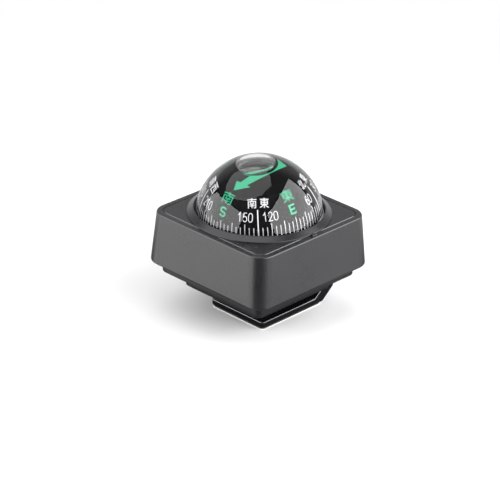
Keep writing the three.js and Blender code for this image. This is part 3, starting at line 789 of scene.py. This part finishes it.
def bowl_section(spare):
    """Inside of the bowl from its rim to the middle, grown by a spare."""
    width = DOME_INNER - BOWL_FLOOR_RADIUS + spare
    height = BOWL_FLANGE - BOWL_FLOOR + spare
    return [
        *arc((BOWL_FLOOR_RADIUS, BOWL_FLANGE), (width, height), 360, 270, 16),
        (0, BOWL_FLOOR - spare),
    ]


def make_capsule():
    """Dome and liquid as one clear solid, with the bubble hollowed out."""
    low = math.degrees(math.asin((WEB_BOTTOM - DOME_CENTRE) / DOME_RADIUS))
    capsule = turned("clear_capsule", [
        *arc((0, DOME_CENTRE), (DOME_RADIUS, DOME_RADIUS), 90, low, 60),
        (FLANGE_RADIUS, WEB_BOTTOM),
        (FLANGE_RADIUS, JOINT),
        (DOME_INNER + CAPSULE_OVERLAP, JOINT),
        *bowl_section(CAPSULE_OVERLAP),
    ], steps=160)
    cut(capsule, make_bubble())
    return dress(smooth(capsule, 25), CLEAR, "clear_dome", "housing", "clear_dome")


def make_bubble():
    """Air under the wall of the dome, which floats to the real top."""
    top = DOME_INNER
    bottom = top - BUBBLE_DEPTH
    reach = BUBBLE_RADIUS - BUBBLE_EDGE
    roof = math.degrees(math.acos(reach / top))
    roof_end = top * math.sin(math.radians(roof))
    middle = (roof_end + bottom) / 2
    side = arc((reach, middle), (BUBBLE_EDGE, (roof_end - bottom) / 2), 90, -90, 14)
    bubble = turned("bubble", [
        *arc((0, 0), (top, top), 90, roof, 14),
        *side[1:],
        (0, bottom),
    ], steps=96)
    return move(bubble, Matrix.Translation((0, 0, DOME_CENTRE)) @ LEAN)


def make_bowl():
    outer = DOME_INNER + BOWL_WALL
    bowl = turned("bowl", [
        (0, BOWL_FLOOR - BOWL_WALL),
        *arc((BOWL_FLOOR_RADIUS, BOWL_FLANGE),
             (outer - BOWL_FLOOR_RADIUS, BOWL_FLANGE - BOWL_FLOOR + BOWL_WALL), 270, 360, 16),
        (FLANGE_RADIUS, BOWL_FLANGE),
        (FLANGE_RADIUS, JOINT),
        (DOME_INNER, JOINT),
        *bowl_section(0),
    ])
    return dress(smooth(bowl), BOWL_BLACK, "bowl_black", "housing", "lower_bowl")


# Bottom cover and its screws

def round_block(name, half_x, half_y, low, high, corner, x=0):
    piece = block(name, (x - half_x, -half_y, low), (x + half_x, half_y, high))
    bevel_edges(piece, upright, corner, 8)
    return piece


def ring_wall(name, inner, outer, bottom, top):
    return turned(name, [(inner, bottom), (outer, bottom), (outer, top), (inner, top)], closed=True)


def make_ear(start, end):
    inner = PLINTH_HALF - COVER_WALL / 2
    top = LIP_BOTTOM + COVER_WALL / 2
    outline = [(inner, top), (inner, HINGE_Z), (HINGE_X, HINGE_Z - EAR_RADIUS)]
    outline += arc((HINGE_X, HINGE_Z), (EAR_RADIUS, EAR_RADIUS), -90, 0, 14)[1:]
    outline += [(LIP_HALF - COVER_EDGE, top)]
    ear = plate("ear", [(x, start, z) for x, z in outline], (0, end - start, 0))
    return soften(ear, HINGE_EDGE, 2)


def make_cover():
    """A pan with two steps, a wall round the capsule, screw pads and two hinge ears."""
    half = case_half_at(FLANGE_TOP) - CASE_WALL - SEAT_GAP
    cover = round_block("cover", half, half, FLANGE_BOTTOM, FLANGE_TOP, CASE_CORNER - CASE_WALL)
    middle = (FLANGE_BOTTOM + FLANGE_TOP) / 2
    lip = round_block("lip", LIP_HALF, LIP_HALF, LIP_BOTTOM, middle, LIP_CORNER)
    plinth = round_block("plinth", PLINTH_HALF, PLINTH_HALF, PLINTH_BOTTOM,
                         LIP_BOTTOM + COVER_WALL / 2, PLINTH_CORNER)
    bevel_edges(lip, at_level(LIP_BOTTOM), COVER_EDGE, 4)
    bevel_edges(plinth, at_level(PLINTH_BOTTOM), COVER_EDGE, 4)
    fuse(cover, lip, plinth)
    inner = LIP_HALF - COVER_WALL
    lower = PLINTH_HALF - COVER_WALL
    cut(cover,
        round_block("lip_hollow", inner, inner, LIP_BOTTOM + COVER_WALL, FLANGE_TOP + PAST,
                    LIP_CORNER - COVER_WALL),
        round_block("plinth_hollow", lower, lower, PLINTH_BOTTOM + COVER_WALL,
                    LIP_BOTTOM + 2 * COVER_WALL, PLINTH_CORNER - COVER_WALL))
    fuse(cover, ring_wall("capsule_wall", DOME_RADIUS + LOOSE_GAP, LIP_HALF - LOOSE_GAP,
                          LIP_BOTTOM + COVER_WALL / 2, BOWL_FLANGE))
    for x, y in corners():
        fuse(cover, rod("pad", SCREW_HEAD + PAD_WALL, LIP_BOTTOM + COVER_WALL / 2, PAD_TOP, x, y, 40))
        cut(cover,
            rod("bore", SCREW_SHANK + FIT_GAP, LIP_BOTTOM - PAST, PAD_TOP + PAST, x, y, 24),
            rod("counterbore", SCREW_HEAD + LOOSE_GAP, LIP_BOTTOM - PAST, SCREW_SEAT, x, y, 40))
    fuse(cover, make_ear(EAR_INNER, EAR_OUTER), make_ear(-EAR_OUTER, -EAR_INNER))
    cut(cover, rod_along_y("hinge_bore", PIN_BORE, -EAR_OUTER - PAST, EAR_OUTER + PAST,
                           HINGE_X, HINGE_Z, 32))
    return dress(smooth(cover), COVER_BLACK, "case_black", "housing", "bottom_cover")


def make_screws():
    """One cross-head screw, copied to the four corners."""
    low, end = SCREW[0].z, SCREW[1].z
    soft = SCREW_HEAD_ROUND
    model = turned("screw", [
        (0, low),
        *arc((SCREW_HEAD - soft, low + soft), (soft, soft), -90, 0, 5),
        (SCREW_HEAD, SCREW_SEAT),
        (SCREW_SHANK, SCREW_SEAT),
        (SCREW_SHANK, end - SCREW_TIP_LENGTH),
        (SCREW_TIP, end),
        (0, end),
    ], steps=40)
    deep = low + CROSS_DEPTH
    cut(model, *(block("cross", (-x, -y, low - PAST), (x, y, deep))
                 for x, y in ((CROSS_REACH, CROSS_ARM), (CROSS_ARM, CROSS_REACH))))
    smooth(model)
    for number, (x, y) in enumerate(corners(), 1):
        screw = model.copy()
        screw.data = model.data.copy()
        screw.name = f"screw_{number}"
        bpy.context.collection.objects.link(screw)
        move(screw, Matrix.Translation((x, y, 0)))
        dress(screw, STEEL, "steel", "housing", f"cover_screw_{number}")
    bpy.data.objects.remove(model)


# Hinge and foot

def make_hinge():
    def round_pin(name, radius, start, end, sides):
        return rod_along_y(name, radius, start, end, HINGE_X, HINGE_Z, sides)

    head, end = (corner.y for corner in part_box("hinge_pin"))
    pin = soften(round_pin("pin", PIN_HEAD, head, -EAR_OUTER, 48), HINGE_EDGE, 3)
    fuse(pin, round_pin("shaft", PIN_RADIUS, -EAR_OUTER - PAST / 2, end, 40))
    cut(pin, block("slot", (HINGE_X - PIN_HEAD - PAST, head - PAST, HINGE_Z - PIN_SLOT_HALF),
                   (HINGE_X + PIN_HEAD + PAST, head + PIN_SLOT_DEPTH, HINGE_Z + PIN_SLOT_HALF)))
    dress(smooth(pin), STEEL, "steel", "housing", "hinge_pin")
    end = EAR_OUTER + NUT_HEIGHT
    nut = soften(round_pin("nut", NUT_RADIUS, EAR_OUTER, end, 6), HINGE_EDGE, 3)
    cut(nut, round_pin("thread", PIN_BORE, EAR_OUTER - PAST, end + PAST, 40))
    dress(smooth(nut), STEEL, "steel", "housing", "hinge_nut")
    for name in ("friction_washer_front", "friction_washer_back"):
        low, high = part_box(name)
        washer = round_pin("washer", WASHER_RADIUS, low.y, high.y, 48)
        cut(washer, round_pin("hole", PIN_BORE, low.y - PAST, high.y + PAST, 40))
        dress(smooth(washer), NYLON, "plug_nylon", "housing", name)


def make_foot():
    """A plate with a sloping arm and a barrel for the pin, all edges rounded."""
    rise = ARM_THICK / math.cos(ARM_SLOPE)
    end = ARM_OUTER - ARM_RUN
    inner = end - (rise - PLATE_THICK) / math.tan(ARM_SLOPE)
    shoulder = end + (SHOULDER - PLATE_BOTTOM - rise) / math.tan(ARM_SLOPE)
    outline = [
        (PLATE_START, PLATE_BOTTOM),
        (end, PLATE_BOTTOM),
        (ARM_OUTER, PLATE_BOTTOM + ARM_RUN * math.tan(ARM_SLOPE)),
        (ARM_OUTER, SHOULDER),
        (shoulder, SHOULDER),
        (inner, PLATE_TOP),
        (PLATE_START, PLATE_TOP),
    ]
    foot = plate("foot", [(x, -PLATE_HALF, z) for x, z in outline], (0, 2 * PLATE_HALF, 0))
    bevel_edges(foot, lambda a, b: upright(a, b) and max(a.x, b.x) < PLATE_START + TINY, PLATE_CORNER, 8)
    soften(foot, PLATE_EDGE, 4, 29)
    neck = [(ARM_OUTER, SHOULDER - PAST)]
    neck += arc((HINGE_X, HINGE_Z), (BARREL_RADIUS, BARREL_RADIUS), 0, 180, 28)
    neck += [(HINGE_X - BARREL_RADIUS, SHOULDER), (shoulder, SHOULDER - PAST)]
    fuse(foot, plate("neck", [(x, -BARREL_HALF, z) for x, z in neck], (0, 2 * BARREL_HALF, 0)))
    cut(foot, rod_along_y("foot_bore", PIN_BORE, -PLATE_HALF, PLATE_HALF, HINGE_X, HINGE_Z, 40))
    dress(smooth(foot), FOOT_BLACK, "foot_black", "foot", "foot_bracket")
    # Painted highlight on the foot's top edges clear of the barrel, and on the rounding at the plate's
    # start
    return rub(foot, EDGE_HIGHLIGHT, lambda middle, normal: (
        middle.z > PLATE_TOP - PLATE_EDGE and 0.35 < normal.z < 0.97 and abs(middle.y) > HIGHLIGHT_FROM
        or middle.x < PLATE_START + PLATE_EDGE and 0.1 < normal.z < 0.97))


def make_sheet(node, finish, slot):
    """Foam pad or liner, a thin sheet as large as its node."""
    low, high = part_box(node)
    half_x, half_y = (high - low).x / 2, (high - low).y / 2
    sheet = round_block(node, half_x, half_y, low.z, high.z, PLATE_CORNER, (low + high).x / 2)
    return dress(smooth(sheet), finish, slot, "foot", node)


# Card

def hang(piece):
    """Takes a piece from the level card to its place under the needle's point."""
    centre = Vector((0, 0, CARD_CENTRE)) - PIVOT
    return move(piece, Matrix.Translation(PIVOT) @ LEAN @ Matrix.Translation(centre))


def make_card():
    inner = CARD_RADIUS - CARD_WALL
    level = CARD_RADIUS * math.sin(math.radians(CARD_SKIRT))
    slope = [math.degrees(math.asin(share)) for share in (
        (CROWN - CARD_WALL) / inner, level / inner, CROWN / CARD_RADIUS)]
    card = turned("card_dome", [
        (0, CROWN - CARD_WALL),
        *arc((0, 0), (inner, inner), slope[0], -slope[1], 24),
        *arc((0, 0), (CARD_RADIUS, CARD_RADIUS), -CARD_SKIRT, slope[2], 32),
        (0, CROWN),
    ])
    bevel_edges(card, at_level(CROWN), CROWN_EDGE, 2)
    return dress(smooth(hang(card), 25), CARD_BLACK, "card_black", "card", "compass_card")


def wrap(piece):
    """Lays a flat print on the card's sphere and gives it the ink's thickness."""
    modify(piece, "CAST", cast_type="SPHERE", factor=1, use_radius_as_size=False,
           size=CARD_RADIUS + PRINT, radius=0)
    return modify(piece, "SOLIDIFY", thickness=PRINT, offset=-1)


def facing(label, height):
    """Place on the card for a label's bearing and height in degrees: x right, y up, z outward."""
    turn = math.radians(CARD_TURN - label)
    rise = math.radians(height)
    return (Matrix.Rotation(turn, 4, "Z") @ Matrix.Rotation(-rise, 4, "Y")
            @ Matrix.Translation((CARD_RADIUS, 0, 0))
            @ Matrix(((0, 0, 1, 0), (1, 0, 0, 0), (0, 1, 0, 0), (0, 0, 0, 1))))


def tick(width, top):
    """One mark, drawn flat against the sphere at bearing zero and laid on it."""
    clear_bench()
    low = CARD_RADIUS * math.tan(math.radians(TICK_FOOT))
    high = CARD_RADIUS * math.tan(math.radians(top))
    bpy.ops.mesh.primitive_grid_add(
        x_subdivisions=2, y_subdivisions=max(4, round(top / 2)), size=1,
        location=(CARD_RADIUS, 0, (low + high) / 2), rotation=(math.pi / 2, 0, math.pi / 2))
    mark = named("tick")
    mark.scale = (width, high - low, 1)
    return wrap(fix(mark))


def make_ticks():
    kinds = {
        "fifth": (TICK_WIDTH, 11),
        "third": (TICK_WIDTH, 14.7),
        "main": (TICK_WIDTH, 14.2),
        "between": (LONG_TICK_WIDTH, 30.5),
    }
    models = {kind: tick(width, top) for kind, (width, top) in kinds.items()}
    marks = []
    for label in range(0, 360, 5):
        kind = "fifth"
        if label % 15 == 0:
            kind = "third"
        if label % 90 == 0:
            kind = "main"
        if label % 90 == 45:
            kind = "between"
        mark = models[kind].copy()
        mark.data = models[kind].data.copy()
        bpy.context.collection.objects.link(mark)
        marks.append(move(mark, Matrix.Rotation(math.radians(CARD_TURN - label), 4, "Z")))
    for model in models.values():
        bpy.data.objects.remove(model)
    ring = hang(gather("degree_ring", marks))
    return dress(ring, WHITE_INK, "print_white", "card")


# Letters as lines in a square of side 1
ZERO = arc((0.5, 0.7), (0.5, 0.3), 0, 180, 10) + arc((0.5, 0.3), (0.5, 0.3), 180, 360, 10)
DRAWN = {
    "0": [ZERO + ZERO[:1]],
    "1": [[(0.05, 0.74), (0.3, 0.82), (0.55, 1), (0.55, 0)]],
    "2": [arc((0.5, 0.74), (0.46, 0.26), 165, -35, 12) + [(0.04, 0), (1, 0)]],
    "3": [arc((0.46, 0.76), (0.44, 0.24), 155, -90, 12) + [(0.3, 0.52)],
          [(0.3, 0.54)] + arc((0.46, 0.27), (0.5, 0.27), 90, -155, 12)],
    "4": [[(0.74, 0), (0.74, 1), (0, 0.28), (1, 0.28)]],
    "5": [[(0.92, 1), (0.2, 1), (0.1, 0.52)] + arc((0.48, 0.31), (0.5, 0.31), 125, -155, 14)],
    "6": [arc((0.6, 0.7), (0.58, 0.3), 60, 180, 8) + arc((0.5, 0.31), (0.48, 0.31), 180, 530, 20)],
    "N": [[(0, 0), (0, 1)], [(0.04, 0.94), (0.96, 0.06)], [(1, 0), (1, 1)]],
    "E": [[(1, 1), (0, 1), (0, 0), (1, 0)], [(0, 0.5), (0.9, 0.5)]],
    "S": [arc((0.5, 0.74), (0.5, 0.26), 15, 265, 14) + arc((0.5, 0.25), (0.5, 0.25), 85, -165, 14)],
    "W": [[(0, 1), (0.24, 0)], [(0.24, 0), (0.5, 0.85)], [(0.5, 0.85), (0.76, 0)], [(0.76, 0), (1, 1)]],
}


def sliced(flat, step):
    """Cuts a flat print into a grid, so that it can bend."""
    edit(flat)
    reach = max(max(map(abs, vertex.co.xy)) for vertex in bmesh.from_edit_mesh(flat.data).verts)
    count = int(reach / step)
    for across in ((1, 0, 0), (0, 1, 0)):
        for i in range(-count, count + 1):
            bpy.ops.mesh.select_all(action="SELECT")
            bpy.ops.mesh.bisect(plane_co=Vector(across) * i * step, plane_no=across)
    done()
    return flat


def lettering(text, width, height, shift=0):
    """A flat sign of a set size on the line y = 0."""
    clear_bench()
    bpy.ops.object.text_add()
    words = bpy.context.object
    words.data.body = text
    words.data.resolution_u = 6
    bpy.ops.object.convert(target="MESH")
    words = bpy.context.object
    points = [vertex.co.copy() for vertex in words.data.vertices]
    low = Vector((min(p.x for p in points), min(p.y for p in points), 0))
    high = Vector((max(p.x for p in points), max(p.y for p in points), 0))
    size = Matrix.Diagonal((width / (high.x - low.x), height / (high.y - low.y), 1, 1))
    middle = Matrix.Translation(-(low + high) / 2)
    return sliced(move(words, Matrix.Translation((shift, 0, 0)) @ size @ middle), SIGN_GRID)


def strokes(lines, width, height, stroke, shift):
    """One letter drawn in lines of even width, flat about the origin.
    A line that ends where it starts is closed."""
    parts = []
    for points in lines:
        closed = points[0] == points[-1]
        path = [((x - 0.5) * width + shift, (y - 0.5) * height, 0) for x, y in points]
        wall = chain("stroke", path[:-1] if closed else path, closed)
        bpy.ops.mesh.select_all(action="SELECT")
        bpy.ops.mesh.extrude_edges_move(TRANSFORM_OT_translate={"value": (0, 0, STROKE_WALL)})
        bpy.ops.mesh.select_all(action="SELECT")
        bpy.ops.mesh.normals_make_consistent(inside=False)
        done()
        modify(wall, "SOLIDIFY", thickness=stroke, offset=0, use_even_offset=True)
        pick_faces(wall, lambda middle, normal: middle.z < STROKE_WALL - TINY)
        bpy.ops.mesh.delete(type="FACE")
        done()
        parts.append(move(wall, Matrix.Translation((0, 0, -STROKE_WALL))))
    return gather("letter", parts)


def written(text, width, height, stroke, pitch=0):
    """A word in drawn letters, each of the same width."""
    middle = (len(text) - 1) / 2
    letters = [strokes(DRAWN[letter], width, height, stroke, (place - middle) * pitch)
               for place, letter in enumerate(text)]
    return sliced(gather("word", letters), LETTER_GRID)


def signs(name, rows, finish, slot):
    """Prints flat signs round the card at their bearings and heights, and joins them."""
    laid = [wrap(move(sign, facing(label, rise))) for sign, label, rise in rows]
    return dress(hang(gather(name, laid)), finish, slot, "card")


def make_signs():
    numerals = [(written(str(label), NUMERAL_WIDTH, NUMERAL_HEIGHT, NUMERAL_STROKE, NUMERAL_PITCH),
                 label, NUMERAL_RISE)
                for label in range(30, 360, 30) if label % 90]
    pairs = [(gather("pair", [lettering(text, *WHITE_SIGN, shift)
                              for text, shift in zip(pair, WHITE_SIGN_PLACES)]), label, WHITE_SIGN_RISE)
             for pair, label in (("北東", 45), ("南東", 135), ("南西", 225), ("北西", 315))]
    letters = [(written(text, LETTER_WIDTH, LETTER_HEIGHT, LETTER_STROKE), label, LETTER_RISE)
               for text, label in (("N", 0), ("E", 90), ("S", 180), ("W", 270))]
    quarters = [(lettering(text, *GREEN_SIGN), label, GREEN_SIGN_RISE)
                for text, label in (("北", 0), ("東", 90), ("南", 180), ("西", 270))]
    signs("numerals", numerals, WHITE_INK, "print_white")
    signs("white_signs", pairs, WHITE_INK, "print_white")
    signs("green_letters", letters, GREEN_INK, "print_green")
    signs("green_signs", quarters, GREEN_INK, "print_green")


def make_arrow():
    """The arrow on the flat crown, which points south."""
    tip, barb, neck, tail = 10.0 * MM, 5.65 * MM, 5.5 * MM, -8.7 * MM
    barb_half, neck_half, tail_half = 2.7 * MM, 1.25 * MM, 1.95 * MM
    outline = [(tip, 0), (barb, barb_half), (neck, neck_half), (tail, tail_half),
               (tail, -tail_half), (neck, -neck_half), (barb, -barb_half)]
    arrow = plate("arrow", [(x, y, CROWN) for x, y in outline], (0, 0, PRINT))
    move(arrow, Matrix.Rotation(math.radians(CARD_TURN - 180), 4, "Z"))
    return dress(hang(arrow), GREEN_INK, "print_green", "card")


# Studio

def direction(heading, rise=0):
    """The unit vector of a heading and a rise in degrees."""
    heading, rise = math.radians(heading), math.radians(rise)
    return Vector((math.cos(rise) * math.cos(heading), math.cos(rise) * math.sin(heading), math.sin(rise)))


def aim_camera():
    roll = math.radians(CAMERA_ROLL)
    forward = direction(CAMERA_HEADING, -CAMERA_DROP)
    right = forward.cross((0, 0, 1)).normalized()
    up = right.cross(forward)
    right, up = (right * math.cos(roll) + up * math.sin(roll),
                 up * math.cos(roll) - right * math.sin(roll))
    turn = Matrix((right, up, -forward)).transposed().to_4x4()
    bpy.ops.object.camera_add()
    camera = bpy.context.object
    camera.name = "camera"
    camera.matrix_world = Matrix.Translation(CAMERA_PLACE) @ turn
    camera.data.lens = CAMERA_LENS
    camera.data.sensor_width = CAMERA_SENSOR
    camera.data.clip_start = 10 * MM
    bpy.context.scene.camera = camera


def lamp(name, centre, width, height, heading, rise, twist, radiance):
    """A soft panel that looks back along its direction from the compass."""
    away = direction(heading, rise)
    right = Matrix.Rotation(math.radians(twist), 3, away) @ away.cross((0, 0, 1)).normalized()
    up = right.cross(away)
    turn = Matrix((-right, up, away)).transposed().to_4x4()
    bpy.ops.object.light_add(type="AREA")
    light = bpy.context.object
    light.name = name
    light.matrix_world = Matrix.Translation(centre) @ turn
    light.data.shape = "RECTANGLE"
    light.data.size = width
    light.data.size_y = height
    light.data.energy = radiance * math.pi * width * height
    light.visible_camera = False


def light_up(panel, radiance):
    """Makes a flat panel shine from its front only, unseen by the camera."""
    finish = material(panel.name + "_light")
    back = finish.node("ShaderNodeNewGeometry", output="Backfacing")
    panel.data.materials.append(finish.output(finish.mix(back, finish.emission(radiance), finish.clear())))
    panel.visible_camera = False


def octagon_lamp(heading, rise, distance, radius, radiance):
    """An eight-sided panel overhead, seen as such in the dome."""
    away = direction(heading, rise)
    clear_bench()
    bpy.ops.mesh.primitive_circle_add(vertices=8, radius=radius, fill_type="NGON")
    panel = named("top_panel")
    turn = Vector((0, 0, 1)).rotation_difference(-away).to_matrix().to_4x4()
    move(panel, Matrix.Translation(Vector((0, 0, DOME_CENTRE)) + away * distance) @ turn)
    light_up(panel, radiance)


def cut_corner_lamp(radiance):
    """The left panel. Its low near corner is cut off, so that the case's left face doesn't mirror it."""
    panel = chain("left_panel", LEFT_PANEL, True)
    bpy.ops.mesh.select_all(action="SELECT")
    bpy.ops.mesh.edge_face_add()
    done()
    light_up(panel, radiance)


def make_floor():
    """A pale floor that keeps the shadow, and can be seen through from below.
    Mirrored rays find it dark near the compass and open further out."""
    clear_bench()
    bpy.ops.mesh.primitive_plane_add(size=8)
    floor = named("floor")
    finish = material("pale_floor")
    far = finish.node("ShaderNodeVectorMath", {"operation": "LENGTH"}, {0: finish.place()}, "Value")
    matt = finish.node("ShaderNodeBsdfDiffuse", sockets={"Color": (0.8, 0.8, 0.8, 1)})
    seen = (finish.light_path("Is Camera Ray") + finish.light_path("Is Transmission Ray")).clamped()
    plain = finish.mix(far.between(*SHADOW_FADE) * seen, matt, finish.emission(1))
    shade = finish.node("ShaderNodeBsdfDiffuse", sockets={"Color": (0.14, 0.14, 0.14, 1)})
    behind = finish.along(finish.place(), direction(CAMERA_HEADING))
    dark = far - behind.between(*DARK_BEHIND_FADE) * DARK_BEHIND
    mirrored = finish.mix(dark.between(*DARK_FADE), shade, finish.clear())
    above = finish.mix(finish.light_path("Is Glossy Ray"), plain, mirrored)
    below = finish.node("ShaderNodeNewGeometry", output="Backfacing")
    floor.data.materials.append(finish.output(finish.mix(below, above, finish.clear())))


def make_world():
    """Even light, and for mirrored rays bright sides left and right of a dark camera side."""
    finish = Finish(bpy.data.worlds.new("studio"))
    bpy.context.scene.world = finish.owner
    ray = finish.node("ShaderNodeTexCoord", output="Generated")
    ahead = finish.along(ray, direction(CAMERA_HEADING))
    left = finish.along(ray, direction(CAMERA_HEADING + 90))
    rise = finish.along(ray, (0, 0, 1))
    turn = left.math("ARCTAN2", left, 0 - ahead)
    low = 1 - rise.between(*SIDE_TOP_FADE)

    def side(angle, start, end):
        near, far = math.radians(start), math.radians(end)
        return (angle.between(near, near + SIDE_SOFT[0])
                * (1 - angle.between(far, far + SIDE_SOFT[1])) * low)

    rear = finish.mix(ahead.between(*REAR_FADE), finish.glow(DARK_GLOW), finish.glow(REAR_GLOW))
    horizon = ahead.between(*HORIZON_FADE) * (1 - rise.between(*HORIZON_TOP_FADE))
    rear = finish.mix(horizon, rear, finish.glow(HORIZON_GLOW))
    sides = finish.mix(side(turn, *LEFT_SIDE), rear, finish.glow(LEFT_GLOW))
    sides = finish.mix(side(0 - turn, *RIGHT_SIDE), sides, finish.glow(RIGHT_GLOW))
    through = finish.mix(ahead.between(*THROUGH_FADE), finish.glow(THROUGH_GLOW), finish.glow(1))
    around = finish.mix(finish.light_path("Is Glossy Ray"), finish.glow(ROUND_GLOW), sides)
    around = finish.mix(finish.light_path("Is Transmission Ray"), around, through)
    finish.output(finish.mix(finish.light_path("Is Camera Ray"), around, finish.glow(1)),
                  "ShaderNodeOutputWorld")


bpy.context.scene.view_settings.view_transform = "Standard"
aim_camera()
cut_corner_lamp(radiance=4.4)
lamp("right_panel", centre=(0.078, -0.608, 0.253), width=1.285, height=0.709, heading=-54.8, rise=24.7,
     twist=0.5, radiance=5.1)
octagon_lamp(heading=128, rise=72, distance=0.6, radius=0.42, radiance=2.1)
make_floor()
make_world()

make_case()
make_bezel()
make_capsule()
make_bowl()
make_cover()
make_screws()
make_hinge()
make_foot()
make_sheet("adhesive_pad", FOAM, "pad_foam")
make_sheet("release_liner", PAPER, "liner_paper")
make_card()
make_ticks()
make_signs()
make_arrow()

for node, finish in (
    ("capsule_seal", RUBBER), ("filler_plug", NYLON), ("pivot_post", BRASS), ("pivot_needle", STEEL),
    ("card_float", FLOAT_WHITE), ("jewel_cup", JEWEL), ("magnet_left", MAGNET), ("magnet_right", MAGNET),
    ("card_retainer", STEEL),
):
    repaint(node, finish)
